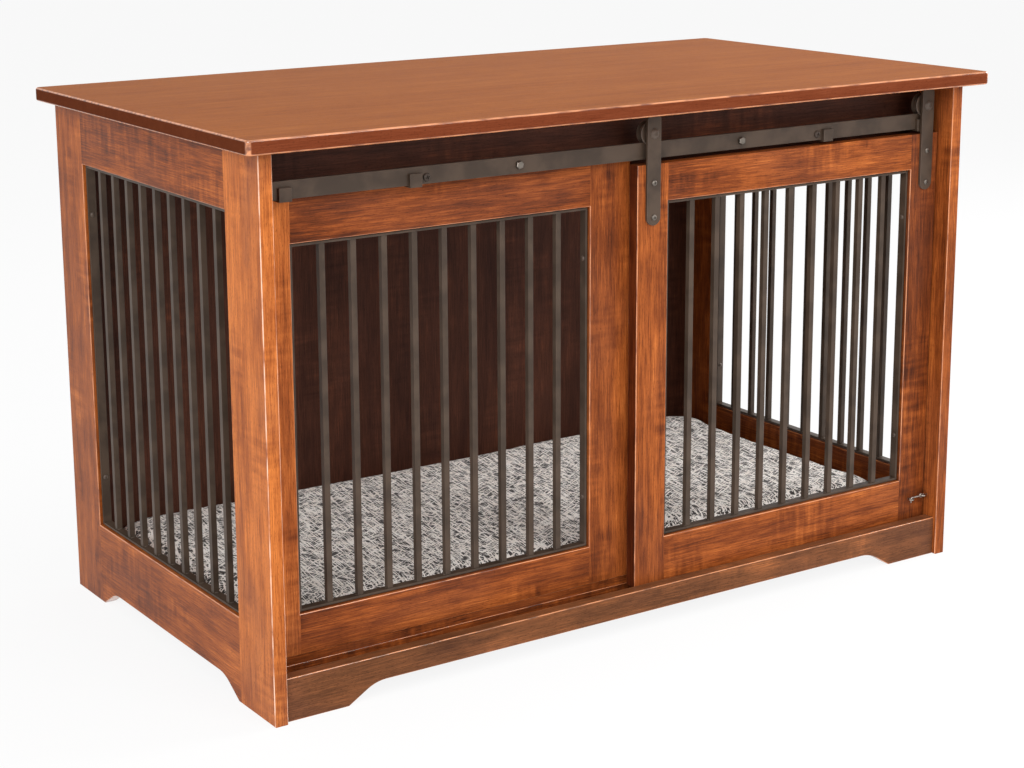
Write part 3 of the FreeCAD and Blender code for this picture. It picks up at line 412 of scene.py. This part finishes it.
def powder_coat(name, shade, roughness=0.42, edge=0.35):
    finish = Finish(name, IOR=1.5, Specular_IOR_Level=0.22)
    peel = finish.even_noise(PEEL_SCALE)
    cloud = finish.even_noise(COAT_CLOUD_SCALE, 3.0).step(0.35, 0.65)
    facing = finish.normal()
    rounded = 1 - facing[0].math("MAXIMUM", facing[1]).math("MAXIMUM", facing[2]).step(0.88, 0.99)
    coat = finish.mix(cloud, tinted(shade, 0.8), tinted(shade, 1.25))
    # Paler edges: partly the thinner coat and partly a painted highlight.
    coat = finish.mix(rounded * edge, coat, THIN_COAT_AND_HIGHLIGHT)
    finish.surface(Base_Color=coat, Roughness=roughness + (peel - 0.5) * 0.2,
                   Normal=finish.bump(peel, PEEL_DEPTH, 0.6))
    return finish.material


def plated(name, shade, roughness):
    finish = Finish(name, Metallic=1.0)
    brushed = finish.noise([part * scale for part, scale in zip(finish.place(), BRUSH_SCALES)], 3.0)
    dull = finish.even_noise(DULL_SCALE).step(0.4, 0.7)
    finish.surface(Base_Color=finish.mix(dull * 0.6, shade, tinted(shade, 0.6)),
                   Roughness=roughness + brushed * 0.18, Normal=finish.bump(brushed, BRUSH_DEPTH, 0.5))
    return finish.material


coated_steel = powder_coat("coated_steel", colour(68, 55, 45))
bright_steel = plated("bright_steel", colour(124, 116, 108), 0.3)
latch_steel = plated("latch_steel", colour(168, 160, 152), 0.24)
BARE_WOOD = ((0.0, colour(176, 134, 88)), (0.4, colour(200, 160, 112)), (0.7, colour(212, 176, 130)),
             (1.0, colour(224, 192, 150)))
FITTINGS = (
    (coated_steel, ("track_rail", "rail_standoffs", "rail_clips", "left_hanger", "right_hanger",
                    "left_wheel", "right_wheel", "left_axle_bolt", "right_axle_bolt", "grille_screws",
                    "door_grille_screws")),
    (bright_steel, ("top_screws", "clip_screws", "axle_washers", "axle_nuts")),
    (plated("bush_bronze", colour(196, 150, 88), 0.3), ("left_bush", "right_bush")),
    (latch_steel, ("side_eye", "door_eye", "latch_hook")),
    (maple("dowel_maple", ACROSS, BARE_WOOD, 71, blotch=0.4, cast=0.0, gloss=0.6, arris=0.0),
     ("frame_dowels", "door_dowels")))
for material, fittings in FITTINGS:
    for node in fittings:
        dress(node, material)
print("fittings finished:", sum(len(fittings) for _, fittings in FITTINGS))

# %% [markdown]
# ## Grilles
# A grille is a ring of flat bar with nine square bars welded inside it.  It could be drawn bar by
# bar, but it follows a rule, so Geometry Nodes make it: a line of points carries the bars, four
# flat bars make the ring, and a bead of weld sits on each side of each bar's ends.  The sizes are
# inputs of the tree, so the four grilles share it.  A Bevel rounds the mill edges afterwards.

# %% Geometry Nodes helpers
class Recipe(Graph):
    """A Geometry Nodes tree with named inputs."""

    def __init__(self, name, inputs):
        super().__init__(bpy.data.node_groups.new(name, "GeometryNodeTree"))
        face = self.tree.interface
        face.new_socket(name="Geometry", in_out="INPUT", socket_type="NodeSocketGeometry")
        self.sockets = {key: face.new_socket(name=key, in_out="INPUT", socket_type="NodeSocket" + kind)
                        for key, kind in inputs.items()}
        face.new_socket(name="Geometry", in_out="OUTPUT", socket_type="NodeSocketGeometry")
        self.given = self.node("NodeGroupInput")
        self.result = self.tree.nodes.new("NodeGroupOutput")

    def value(self, name):
        return self.given.other(name)

    def vector(self, x=0.0, y=0.0, z=0.0):
        return self.node("ShaderNodeCombineXYZ", {}, [x, y, z])

    def ends(self, geometry):
        """The last nodes: instances become mesh and take their material."""
        plain = self.node("GeometryNodeRealizeInstances", {}, [geometry])
        painted = self.node("GeometryNodeSetMaterial", {}, {"Geometry": plain,
                                                            "Material": self.value("Material")})
        self.feed(self.result.inputs[0], painted)


def placed(name, mesh):
    """A new object at the origin."""
    obj = bpy.data.objects.new(name, mesh)
    scene.collection.objects.link(obj)
    return obj


def apply_modifiers(obj):
    """Keep the shape that the modifiers make, and drop them."""
    bpy.context.view_layer.update()
    mesh = bpy.data.meshes.new_from_object(obj.evaluated_get(bpy.context.evaluated_depsgraph_get()))
    obj.modifiers.clear()
    obj.data = mesh


def grown(name, recipe, values, base=None, bevel=0.0):
    """Run a recipe and return its result as a plain mesh object."""
    obj = placed(name, base or bpy.data.meshes.new(name))
    tree = obj.modifiers.new("recipe", "NODES")
    tree.node_group = recipe.tree
    for key, value in values.items():
        tree[recipe.sockets[key].identifier] = value
    if bevel:
        rounding = obj.modifiers.new("rounding", "BEVEL")
        rounding.width, rounding.segments, rounding.limit_method = bevel, 2, "ANGLE"
    apply_modifiers(obj)
    obj.data.name = name
    return obj


print("recipe helpers ready")

# %% [markdown]
# ## Recipe of a grille
# On the bench the welder lays nine bars across a ring and fixes their ends with short beads.  The
# recipe keeps that order.  Beads could be modelled one by one, but no one would notice which is
# which, so each is a small sphere squashed at random.

# %% Grille recipe
RING_THICKNESS = 3.0 * MM
BAR = 8.0 * MM
BAR_COUNT = 9
FRONT_BAR_PITCH, SIDE_BAR_PITCH = 45.0 * MM, 44.6 * MM
BEAD = 2.1 * MM
BEAD_OFFSET = 0.52              # share of the bar's width, from its middle
SMALLEST_BEAD, LARGEST_BEAD = (0.45, 0.8, 0.45), (0.95, 1.6, 0.9)
MILL_EDGE = 0.6 * MM

grille_recipe = Recipe("grille", {
    "Width": "Float", "Height": "Float", "Depth": "Float", "Ring": "Float", "Bar": "Float",
    "Pitch": "Float", "Count": "Int", "Bead": "Float", "Place": "Vector", "Turn": "Vector",
    "Seed": "Int", "Material": "Material"})
g = grille_recipe
width, height, depth, ring, bar = (g.value(k) for k in ("Width", "Height", "Depth", "Ring", "Bar"))


def flat_bar(size, place):
    block = g.node("GeometryNodeMeshCube", {}, {"Size": size})
    return g.node("GeometryNodeTransform", {}, {"Geometry": block, "Translation": place})


ring_bars = []
for side in (-1, 1):
    half = 0.5 * side
    ring_bars.append(flat_bar(g.vector(ring, depth, height - ring * 2), g.vector(x=(width - ring) * half)))
    ring_bars.append(flat_bar(g.vector(width, depth, ring), g.vector(z=(height - ring) * half)))
span = g.value("Pitch") * (g.value("Count") - 1)
bar_line = g.node("GeometryNodeMeshLine", {}, {"Count": g.value("Count"),
                                               "Start Location": g.vector(x=span * -0.5),
                                               "Offset": g.vector(x=g.value("Pitch"))})
upright = g.node("GeometryNodeMeshCube", {}, {"Size": g.vector(bar, bar, height - ring)})
bars = g.node("GeometryNodeInstanceOnPoints", {}, {"Points": bar_line, "Instance": upright})
bead_points = []
for side in (-1, 1):
    for end in (-1, 1):
        offset = g.vector(x=bar * (BEAD_OFFSET * side), z=(height * 0.5 - ring) * end)
        bead_points.append(g.node("GeometryNodeSetPosition", {}, {"Geometry": bar_line, "Offset": offset}))
beads = g.node("GeometryNodeJoinGeometry", {}, {"Geometry": bead_points})
drop = g.node("GeometryNodeMeshIcoSphere", {}, {"Radius": g.value("Bead"), "Subdivisions": 2})
blob = g.node("FunctionNodeRandomValue", {"data_type": "FLOAT_VECTOR"},
              {"Min": SMALLEST_BEAD, "Max": LARGEST_BEAD, "Seed": g.value("Seed")})
beads = g.node("GeometryNodeInstanceOnPoints", {}, {"Points": beads, "Instance": drop, "Scale": blob})
whole = g.node("GeometryNodeJoinGeometry", {}, {"Geometry": ring_bars + [bars, beads]})
whole = g.node("GeometryNodeRealizeInstances", {}, [whole])
whole = g.node("GeometryNodeTransform", {}, {"Geometry": whole, "Translation": g.value("Place"),
                                             "Rotation": g.value("Turn")})
g.ends(whole)
print("grille recipe nodes:", len(g.tree.nodes))

# %% [markdown]
# ## Four grilles from one recipe
# The side grilles are the front ones turned by a quarter.  Each takes its outer size from the packed
# grille that it replaces, so the two can't drift apart.  Only the door's grille rides on the door.

# %% Make the four grilles
for seed, (node, body, along, pitch) in enumerate((
        ("left_grille", "frame", 1, SIDE_BAR_PITCH), ("right_grille", "frame", 1, SIDE_BAR_PITCH),
        ("fixed_grille", "frame", 0, FRONT_BAR_PITCH), ("door_grille", "door", 0, FRONT_BAR_PITCH))):
    low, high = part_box(node)
    size = high - low
    piece = grown("welded_" + node, grille_recipe, {
        "Width": size[along], "Height": size.z, "Depth": size[1 - along], "Ring": RING_THICKNESS,
        "Bar": BAR, "Pitch": pitch, "Count": BAR_COUNT, "Bead": BEAD, "Place": (low + high) / 2,
        "Turn": (0.0, 0.0, math.pi / 2 * along), "Seed": seed + 5, "Material": coated_steel},
        bevel=MILL_EDGE)
    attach(piece, body)
    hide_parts(node)
    print(piece.name, len(piece.data.polygons), "faces")

# %% [markdown]
# ## Screws and bolts
# A pan head screw has a domed head with a cross for the driver, and a bolt has six flats.  The
# recess could be faked with a dark spot, but small heads catch the light, so it is real geometry.  A
# head is turned from a profile like a part on a lathe, and boxes cut the cross.

# %% Turned parts
def mesh_of(name, shape):
    """Turn a bmesh into a mesh."""
    mesh = bpy.data.meshes.new(name)
    shape.to_mesh(mesh)
    shape.free()
    return mesh


def turned(name, profile, segments=32):
    """A closed solid turned about the Y axis from (radius, y) points, first and last on the axis."""
    shape = bmesh.new()
    rings = []
    for radius, y in profile:
        if radius == 0:
            rings.append([shape.verts.new((0, y, 0))])
        else:
            rings.append([shape.verts.new((radius * math.cos(a), y, radius * math.sin(a)))
                          for a in (2 * math.pi * i / segments for i in range(segments))])
    for first, second in zip(rings, rings[1:]):
        for i in range(segments):
            corners = [first[i % len(first)], first[(i + 1) % len(first)],
                       second[(i + 1) % len(second)], second[i % len(second)]]
            shape.faces.new(list(dict.fromkeys(corners)))
    bmesh.ops.recalc_face_normals(shape, faces=shape.faces)
    return placed(name, mesh_of(name, shape))


def boxes(name, sizes):
    """One mesh of boxes, each given as its centre and its size."""
    shape = bmesh.new()
    for centre, size in sizes:
        matrix = Matrix.Translation(centre) @ Matrix.Diagonal((*size, 1.0))
        bmesh.ops.create_cube(shape, size=1.0, matrix=matrix)
    return placed(name, mesh_of(name, shape))


def drilled(obj, cutters):
    """Cut shapes out of obj and drop them."""
    for cutter in cutters:
        cut = obj.modifiers.new("cut", "BOOLEAN")
        cut.operation, cut.solver, cut.object = "DIFFERENCE", "EXACT", cutter
        apply_modifiers(obj)
        bpy.data.objects.remove(cutter)
    return obj


print("turning helpers ready")

# %% Screw and bolt
# Points as shares of the head's radius and of its height
PAN_PROFILE = ((0.45, 0.97), (0.75, 0.82), (0.93, 0.55), (1.0, 0.22), (1.0, 0.0))
HEX_PROFILE = ((1.0, 0.0), (1.0, 0.78), (0.84, 1.0))
CROSS_ARM, CROSS_SLOT, CROSS_DEPTH = 1.05, 0.26, 0.62
CUT_OVERSHOOT = 0.4 * MM
SHANK_OVERLAP = 0.2 * MM
RAIL_BOLT_RADIUS = 3.0 * MM


def pan_head_screw(radius, head, length, shank_radius):
    """Pan head with a cross recess; the head's flat side lies at y = 0 and the shank runs to +Y."""
    profile = [(0, -head), *((radius * r, -head * y) for r, y in PAN_PROFILE), (shank_radius, 0),
               (shank_radius, length - 2 * shank_radius), (0, length)]
    arm, slot, deep = radius * CROSS_ARM, radius * CROSS_SLOT, head * CROSS_DEPTH
    middle = Vector((0, -head + (deep - CUT_OVERSHOOT) / 2, 0))
    cross = [boxes("cutter", [(middle, (arm, deep + CUT_OVERSHOOT, slot))]),
             boxes("cutter", [(middle, (slot, deep + CUT_OVERSHOOT, arm))])]
    return drilled(turned("fastener", profile), cross)


def hex_bolt(radius, head, length, shank_radius):
    """Hexagon head with a chamfered crown; radius is half its width across the corners."""
    shape = bmesh.new()
    outline = [(radius * math.cos(math.pi / 3 * i), radius * math.sin(math.pi / 3 * i)) for i in range(6)]
    rings = [[shape.verts.new((x * k, -head * y, z * k)) for x, z in outline] for k, y in HEX_PROFILE]
    for first, second in zip(rings, rings[1:]):
        for i in range(6):
            shape.faces.new((first[i], first[(i + 1) % 6], second[(i + 1) % 6], second[i]))
    shape.faces.new(rings[0])
    shape.faces.new(rings[-1])
    bmesh.ops.recalc_face_normals(shape, faces=shape.faces)
    shank = turned("shank", [(0, -SHANK_OVERLAP), (shank_radius, -SHANK_OVERLAP),
                             (shank_radius, length - shank_radius), (0, length)])
    shape.from_mesh(shank.data)
    bpy.data.objects.remove(shank)
    return placed("fastener", mesh_of("fastener", shape))


print("screw and bolt ready")

# %% [markdown]
# ## Every screw in its place
# No one stops a screw at the same angle twice.  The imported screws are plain, but they say where each
# one sits.  They could be copied by hand in the viewport.  Here their middles become a cloud of
# points instead, and Geometry Nodes put one finished screw on each, turned a little differently.

# %% Place the screws
MERGE_DISTANCE = 0.02 * MM
HALF_SPIN = 1.4                 # radians to either side

scatter = Recipe("fasteners", {"Fastener": "Object", "Seed": "Int", "Material": "Material"})
model = scatter.node("GeometryNodeObjectInfo", {}, {"Object": scatter.value("Fastener")}, "Geometry")
spin = scatter.node("FunctionNodeRandomValue", {"data_type": "FLOAT_VECTOR"}, {
    "Min": (0.0, -HALF_SPIN, 0.0), "Max": (0.0, HALF_SPIN, 0.0), "Seed": scatter.value("Seed")})
scatter.ends(scatter.node("GeometryNodeInstanceOnPoints", {}, {
    "Points": scatter.given, "Instance": model, "Rotation": spin}))


def extent(points):
    """Low and high corner of a cloud of points."""
    return [Vector([pick(point[i] for point in points) for i in range(3)]) for pick in (min, max)]


def islands(node):
    """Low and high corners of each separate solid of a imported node."""
    shape = bmesh.new()
    shape.from_mesh(nodes[node].data)
    bmesh.ops.remove_doubles(shape, verts=shape.verts, dist=MERGE_DISTANCE)
    todo, found = set(shape.verts), []
    while todo:
        group, edge = set(), [todo.pop()]
        while edge:
            vert = edge.pop()
            group.add(vert)
            fresh = [e.other_vert(vert) for e in vert.link_edges if e.other_vert(vert) in todo]
            todo.difference_update(fresh)
            edge.extend(fresh)
        found.append(extent([v.co for v in group]))
    shape.free()
    return sorted(found, key=lambda pair: tuple(pair[0]))


def fasteners(name, node, body, head, material, maker, shank_radius, seed):
    """Replace the plain fasteners of a node by detailed ones at the same places."""
    spots = islands(node)
    low, high = spots[0]
    fastener = maker((high.x - low.x) / 2, head, high.y - low.y - head, shank_radius)
    cloud = bpy.data.meshes.new(name)
    cloud.from_pydata([((a.x + b.x) / 2, a.y + head, (a.z + b.z) / 2) for a, b in spots], [], [])
    piece = grown(name, scatter, {"Fastener": fastener, "Seed": seed, "Material": material}, cloud)
    bpy.data.objects.remove(fastener)
    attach(piece, body)
    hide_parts(node)
    print(name, len(spots), "pieces", len(piece.data.polygons), "faces")


black_steel = powder_coat("black_steel", colour(58, 48, 41), 0.5, 0.0)
fasteners("strap_screws", "hanger_screws", "door", 2.2 * MM, bright_steel,
          pan_head_screw, 2.2 * MM, 3)
fasteners("black_rail_screws", "rail_screws", "frame", 3.0 * MM, black_steel,
          pan_head_screw, 2.5 * MM, 4)
fasteners("hex_rail_bolts", "rail_bolts", "frame", 4.0 * MM, bright_steel,
          hex_bolt, RAIL_BOLT_RADIUS, 6)

# %% [markdown]
# ## Hook
# The latch is a cabin hook of bright wire: a ring that hangs in the eye of the side frame, a shank
# and a tip that drops into the eye of the door.  The shank of the real one is twisted.  A bump could
# only draw lines on a round shank.  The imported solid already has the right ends, so it stays, and
# two strands are wound around its shank, each a thin tube along a helix.  Geometry Nodes sweep a
# circle along that curve.

# %% Twist the shank
HOOK_PLACE = Vector((550.5, -282.0, 92.0)) * MM
SHANK_START, SHANK_END = 5.0 * MM, 17.0 * MM
STRAND_RADIUS = 0.62 * MM
STRAND_OFFSET = 0.80 * MM
TWIST_TURNS = 3.5
STRAND_POINTS = 90

strand_recipe = Recipe("strands", {"Radius": "Float", "Material": "Material"})
path = strand_recipe.node("GeometryNodeMeshToCurve", {}, [strand_recipe.given])
circle = strand_recipe.node("GeometryNodeCurvePrimitiveCircle", {}, {
    "Resolution": 10, "Radius": strand_recipe.value("Radius")})
strand_recipe.ends(strand_recipe.node("GeometryNodeCurveToMesh", {}, {
    "Curve": path, "Profile Curve": circle, "Fill Caps": True}))


def line_mesh(name, lines, closed=False):
    """A mesh of edges through each list of points."""
    points, edges = [], []
    for line in lines:
        first = len(points)
        points.extend(line)
        edges.extend((first + i, first + i + 1) for i in range(len(line) - 1))
        if closed:
            edges.append((len(points) - 1, first))
    mesh = bpy.data.meshes.new(name)
    mesh.from_pydata(points, edges, [])
    return mesh


def helix(start):
    """Points of one strand that winds along the shank."""
    points = []
    for i in range(STRAND_POINTS):
        share = i / (STRAND_POINTS - 1)
        angle = start + 2 * math.pi * TWIST_TURNS * share
        along = SHANK_START + (SHANK_END - SHANK_START) * share
        points.append(HOOK_PLACE + Vector((-along, STRAND_OFFSET * math.cos(angle),
                                           STRAND_OFFSET * math.sin(angle))))
    return points


twist = grown("hook_twist", strand_recipe, {"Radius": STRAND_RADIUS, "Material": latch_steel},
              line_mesh("hook_twist", [helix(0.0), helix(math.pi)]))
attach(twist, "hook")
print("hook twist faces:", len(twist.data.polygons))

# %% [markdown]
# ## Cushion
# The pad is a foam slab in a woven cover.  Cloth simulation gives it the one thing that is hard to
# draw, the way a stuffed cover swells between its seams.  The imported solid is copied, remeshed into
# even small squares and blown up a little from inside, with no gravity.  Each point may only move a
# few millimetres.  Then the edge is puckered, as the thread draws it in.

# %% Swell the cushion
CUSHION_VOXEL = 6.0 * MM
CUSHION_SHRINK = 2.5 * MM
CUSHION_MERGE = 0.05 * MM
CUSHION_PRESSURE = 4.0
SWELL_FRAMES = 20
SWELL_CAP = 7.0 * MM

pad_low, pad_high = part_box("pad")
pad_middle = (pad_low + pad_high) / 2


def pad_copy():
    """A merged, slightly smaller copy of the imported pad."""
    shape = bmesh.new()
    shape.from_mesh(nodes["pad"].data)
    bmesh.ops.remove_doubles(shape, verts=shape.verts, dist=CUSHION_MERGE)
    half = (pad_high - pad_low) / 2
    shrink = [(half[i] - CUSHION_SHRINK) / half[i] for i in range(3)]
    for vert in shape.verts:
        vert.co = Vector([pad_middle[i] + (vert.co[i] - pad_middle[i]) * shrink[i] for i in range(3)])
    return placed("cushion", mesh_of("cushion", shape))


cushion = pad_copy()
remesh = cushion.modifiers.new("even squares", "REMESH")
remesh.mode, remesh.voxel_size = "VOXEL", CUSHION_VOXEL
apply_modifiers(cushion)
before = [vert.co.copy() for vert in cushion.data.vertices]
cloth = cushion.modifiers.new("swell", "CLOTH")
cloth.settings.use_pressure = True
cloth.settings.uniform_pressure_force = CUSHION_PRESSURE
cloth.settings.effector_weights.gravity = 0.0
for step in range(1, SWELL_FRAMES + 1):
    scene.frame_set(step)
apply_modifiers(cushion)
scene.frame_set(1)
for vert, old in zip(cushion.data.vertices, before):
    move = vert.co - old
    if move.length > SWELL_CAP:
        move *= SWELL_CAP / move.length
    vert.co = old + move
print("cushion squares:", len(cushion.data.polygons))

# %% [markdown]
# ## Puckered edge
# A sewing thread pulls the cloth in at each stitch, so the edge of a cushion runs in soft waves, and
# the middle lies a little slack.  Shrinking seams could be simulated too, but that takes minutes.  A
# sine along the edge that fades inwards, with a slow noise to keep it uneven, looks the same.

# %% Smooth the cushion and pucker its edge
PUCKER_PITCH = 46.0 * MM
PUCKER_DEPTH = 1.5 * MM
PUCKER_REACH = 26.0 * MM
PUCKER_DRIFT = 5.0              # radians
PUCKER_BELOW = -0.3             # share of the pucker on the underside
DRIFT_SCALE = 9.0               # waves per metre
SLACK = 1.3 * MM
SLACK_SCALE = (7.0, 11.0, 3.0)
TOP_ROOM = 2.0 * MM

smooth = cushion.modifiers.new("smooth", "SUBSURF")
smooth.levels = smooth.render_levels = 1
apply_modifiers(cushion)
for vert in cushion.data.vertices:
    x, y, z = vert.co
    side_gap = min(x - pad_low.x, pad_high.x - x)
    long_gap = min(y - pad_low.y, pad_high.y - y)
    run = y if side_gap < long_gap else x
    edge = math.exp(-(min(side_gap, long_gap) / PUCKER_REACH) ** 2)
    drift = noise.noise(Vector((x * DRIFT_SCALE, y * DRIFT_SCALE, 0.0)))
    pucker = edge * math.sin(2 * math.pi * run / PUCKER_PITCH + PUCKER_DRIFT * drift) * PUCKER_DEPTH
    if z > pad_middle.z:
        slack = noise.noise(Vector((x * SLACK_SCALE[0], y * SLACK_SCALE[1], SLACK_SCALE[2])))
        z += pucker + slack * SLACK
    else:
        z += pucker * PUCKER_BELOW
    vert.co.z = min(max(z, pad_low.z), pad_high.z + TOP_ROOM)
for polygon in cushion.data.polygons:
    polygon.use_smooth = True
low, high = extent([vert.co for vert in cushion.data.vertices])
print("cushion from", tuple(round(v, 4) for v in low), "to", tuple(round(v, 4) for v in high))

# %% [markdown]
# ## Tweed
# The cover is a coarse tweed of black and off-white yarn.  Its look is a crossing of short pale
# dashes, slanted both ways, on a dark ground.  Modelling each yarn would take millions of faces.
# Three stretched noises make the dashes instead, and the palest wins.  The same threads stand proud,
# so they also feed the bump.

# %% Tweed
DARK_YARN, PALE_YARN, WARM_YARN = colour(46, 39, 36), colour(255, 250, 244), colour(240, 230, 220)
FUZZ = colour(120, 110, 102)
DASHES = (  # angle, length, width, shift, where the noise turns pale
    (82, 34.0 * MM, 2.3 * MM, 0.3, 0.525, 0.56),
    (-62, 27.0 * MM, 3.0 * MM, 1.7, 0.545, 0.58),
    (30, 25.0 * MM, 2.7 * MM, 2.9, 0.56, 0.60))
SIDE_SHARE = 0.7                # how far a dash also slants down the side
CELL_SCALE, WARMTH_SCALE = 900.0, 60.0
YARN_HEIGHT = 0.5 * MM

woven_finish = Finish("tweed", Sheen_Weight=0.12, Sheen_Roughness=0.5, IOR=1.4)
w = woven_finish
x, y, z = w.place()


def dashes(angle, length, width, shift, low, high):
    """Threads slanted by an angle, drawn as stretched noise."""
    c, s = math.cos(math.radians(angle)), math.sin(math.radians(angle))
    run = (x * c + y * s + shift) / length
    side = (y * c - x * s + z * SIDE_SHARE + shift) / width
    return w.noise([run, side, z / width * 0.6], 1.5, 0.5).step(low, high)


left, right, flat = (dashes(*row) for row in DASHES)
yarn = left.math("MAXIMUM", right).math("MAXIMUM", flat)
cell = w.even_noise(CELL_SCALE, 1.0)
pale = w.mix(w.even_noise(WARMTH_SCALE).step(0.35, 0.65) * 0.6, PALE_YARN, WARM_YARN)
cloth = w.mix((cell - 0.5).math("ABSOLUTE") * 0.3, w.mix(yarn, DARK_YARN, pale), FUZZ)
w.surface(Base_Color=cloth, Roughness=0.9 - yarn * 0.08,
          Normal=w.bump(yarn * 0.7 + cell * 0.5, YARN_HEIGHT, 0.7))

woven = woven_finish.material
cushion.data.materials.clear()
cushion.data.materials.append(woven)
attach(cushion, "frame")
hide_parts("pad")
print("cushion finished")

# %% [markdown]
# ## Welt and stitches
# The cover is sewn from a top and a bottom panel.  They meet in a welt, a thin roll of the cloth
# around the middle of the edge, with a row of stitches above it.  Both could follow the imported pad,
# but the cushion has swollen since, and they would sink into it.  So rays are cast at it from
# outside, all around, and the points they hit become a path.

# %% Sew the edge
WELT_RADIUS = 1.9 * MM
WELT_HEIGHT = 0.40          # share of the pad's thickness
STITCH_RISE = 6.0 * MM
STITCH_PITCH = 7.5 * MM
STITCH_RADIUS = 0.55 * MM
STITCH_STRETCH = 4.5
SEAM_INSET = 60.0 * MM
RAY_START = 0.3
SEAM_STEP = 12.0 * MM
CORNER_STEPS = 12


def around(height):
    """Points on the cushion's edge at one height, in order."""
    low_x, high_x = pad_low.x + SEAM_INSET, pad_high.x - SEAM_INSET
    low_y, high_y = pad_low.y + SEAM_INSET, pad_high.y - SEAM_INSET
    corners = ((high_x, low_y, -90), (high_x, high_y, 0), (low_x, high_y, 90), (low_x, low_y, 180))
    rays = []
    for i, (x, y, turn) in enumerate(corners):
        for k in range(CORNER_STEPS):
            rays.append((x, y, math.radians(turn + 90.0 * k / CORNER_STEPS)))
        next_x, next_y, _ = corners[(i + 1) % 4]
        count = int((Vector((next_x, next_y)) - Vector((x, y))).length / SEAM_STEP)
        for k in range(count):
            rays.append((x + (next_x - x) * k / count, y + (next_y - y) * k / count,
                         math.radians(turn + 90.0)))
    points = []
    for x, y, angle in rays:
        out = Vector((math.cos(angle), math.sin(angle), 0.0))
        hit, place, _, _ = cushion.ray_cast(Vector((x, y, height)) + out * RAY_START, -out)
        if hit:
            points.append(place)
    return points


seam_height = pad_low.z + (pad_high.z - pad_low.z) * WELT_HEIGHT
welt = grown("pad_welt", strand_recipe, {"Radius": WELT_RADIUS, "Material": woven},
             line_mesh("pad_welt", [around(seam_height)], closed=True))
for polygon in welt.data.polygons:
    polygon.use_smooth = True

thread = Finish("thread", Base_Color=colour(206, 198, 186), Roughness=0.8).material
stitch_recipe = Recipe("stitches", {"Pitch": "Float", "Radius": "Float", "Long": "Float",
                                    "Material": "Material"})
t = stitch_recipe
run = t.node("GeometryNodeMeshToCurve", {}, [t.given])
spots = t.node("GeometryNodeCurveToPoints", {"mode": "LENGTH"}, {"Curve": run, "Length": t.value("Pitch")})
bead = t.node("GeometryNodeMeshIcoSphere", {}, {"Radius": t.value("Radius"), "Subdivisions": 1})
bead = t.node("GeometryNodeTransform", {}, {"Geometry": bead, "Scale": t.vector(1.0, 1.0, t.value("Long"))})
t.ends(t.node("GeometryNodeInstanceOnPoints", {}, {"Points": spots, "Instance": bead,
                                                   "Rotation": spots.other("Rotation")}))
stitches = grown("pad_stitches", stitch_recipe, {"Pitch": STITCH_PITCH, "Radius": STITCH_RADIUS,
                                                 "Long": STITCH_STRETCH, "Material": thread},
                 line_mesh("pad_stitches", [around(seam_height + STITCH_RISE)], closed=True))
for piece in (welt, stitches):
    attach(piece, "frame")
    print(piece.name, len(piece.data.polygons), "faces")

# %% [markdown]
# ## Floor, sky and lamps
# The table stands on a plain white floor in a white studio.  A bright white sky alone would give
# that, but it would wash out the wood.  So the camera, mirrors and glass see white, while the light
# that falls on the wood is softer.  Large soft lamps do the modelling: the key from the left front,
# a fill in front, one from the right side and a weak one overhead.

# %% Studio
FLOOR_SIZE = 40.0
SKY_LIGHT = 0.52
FLOOR_GLOW = 0.88              # share of pure white that the camera sees in the floor
WHITE, PAPER = (1.0, 1.0, 1.0, 1.0), (0.86, 0.86, 0.86, 1.0)
LAMP_AIM = Vector((0, 0, 0.4))


def seen(graph):
    """1 for rays from the camera and for mirror and glass rays, else 0."""
    path = graph.node("ShaderNodeLightPath", out="Is Camera Ray")
    mirror = path.other("Is Glossy Ray").math("MAXIMUM", path.other("Is Transmission Ray"))
    return path.math("MAXIMUM", mirror)


world = bpy.data.worlds.new("studio")
world.use_nodes = True
scene.world = world
sky = Graph(world.node_tree)
sky_node = world.node_tree.nodes["Background"]
sky_node.inputs["Color"].default_value = WHITE
sky.feed(sky_node.inputs["Strength"], SKY_LIGHT + seen(sky) * (1.0 - SKY_LIGHT))

floor = boxes("floor", [((0, 0, -0.01), (FLOOR_SIZE, FLOOR_SIZE, 0.02))])
paper = Finish("floor_paper", Base_Color=PAPER, Roughness=0.9)
glow = paper.node("ShaderNodeEmission", {}, {"Color": WHITE, "Strength": 1.0})
surface = Socket(paper, paper.shader.outputs[0])
mixed = paper.node("ShaderNodeMixShader", {}, [seen(paper) * FLOOR_GLOW, surface, glow])
paper.feed(paper.tree.nodes["Material Output"].inputs["Surface"], mixed)
floor.data.materials.append(paper.material)
floor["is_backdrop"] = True

LAMPS = (  # name, place, size, watts
    ("key", (-3.6, -2.4, 2.4), 2.6, 126.0),
    ("fill", (0.7, -3.6, 2.3), 2.4, 60.0),
    ("overhead", (0.2, 0.4, 3.4), 2.2, 8.0),
    ("side", (3.4, -0.6, 1.8), 2.2, 130.0))
for name, place, size, watts in LAMPS:
    light = bpy.data.lights.new(name, "AREA")
    light.shape, light.size, light.energy = "DISK", size, watts
    lamp = bpy.data.objects.new(name, light)
    scene.collection.objects.link(lamp)
    lamp.location = place
    lamp.rotation_euler = (LAMP_AIM - Vector(place)).to_track_quat("-Z", "Y").to_euler()
scene.view_settings.view_transform = "Standard"
print("studio ready")

# %% [markdown]
# ## Sizes
# A part for a library has to keep its real size.  It could be judged by eye, but a millimetre is
# easily lost, so the box of the dressed table is printed.

# %% Sizes and finish
low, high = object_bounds()
print("visual size", [round(v, 4) for v in high - low])
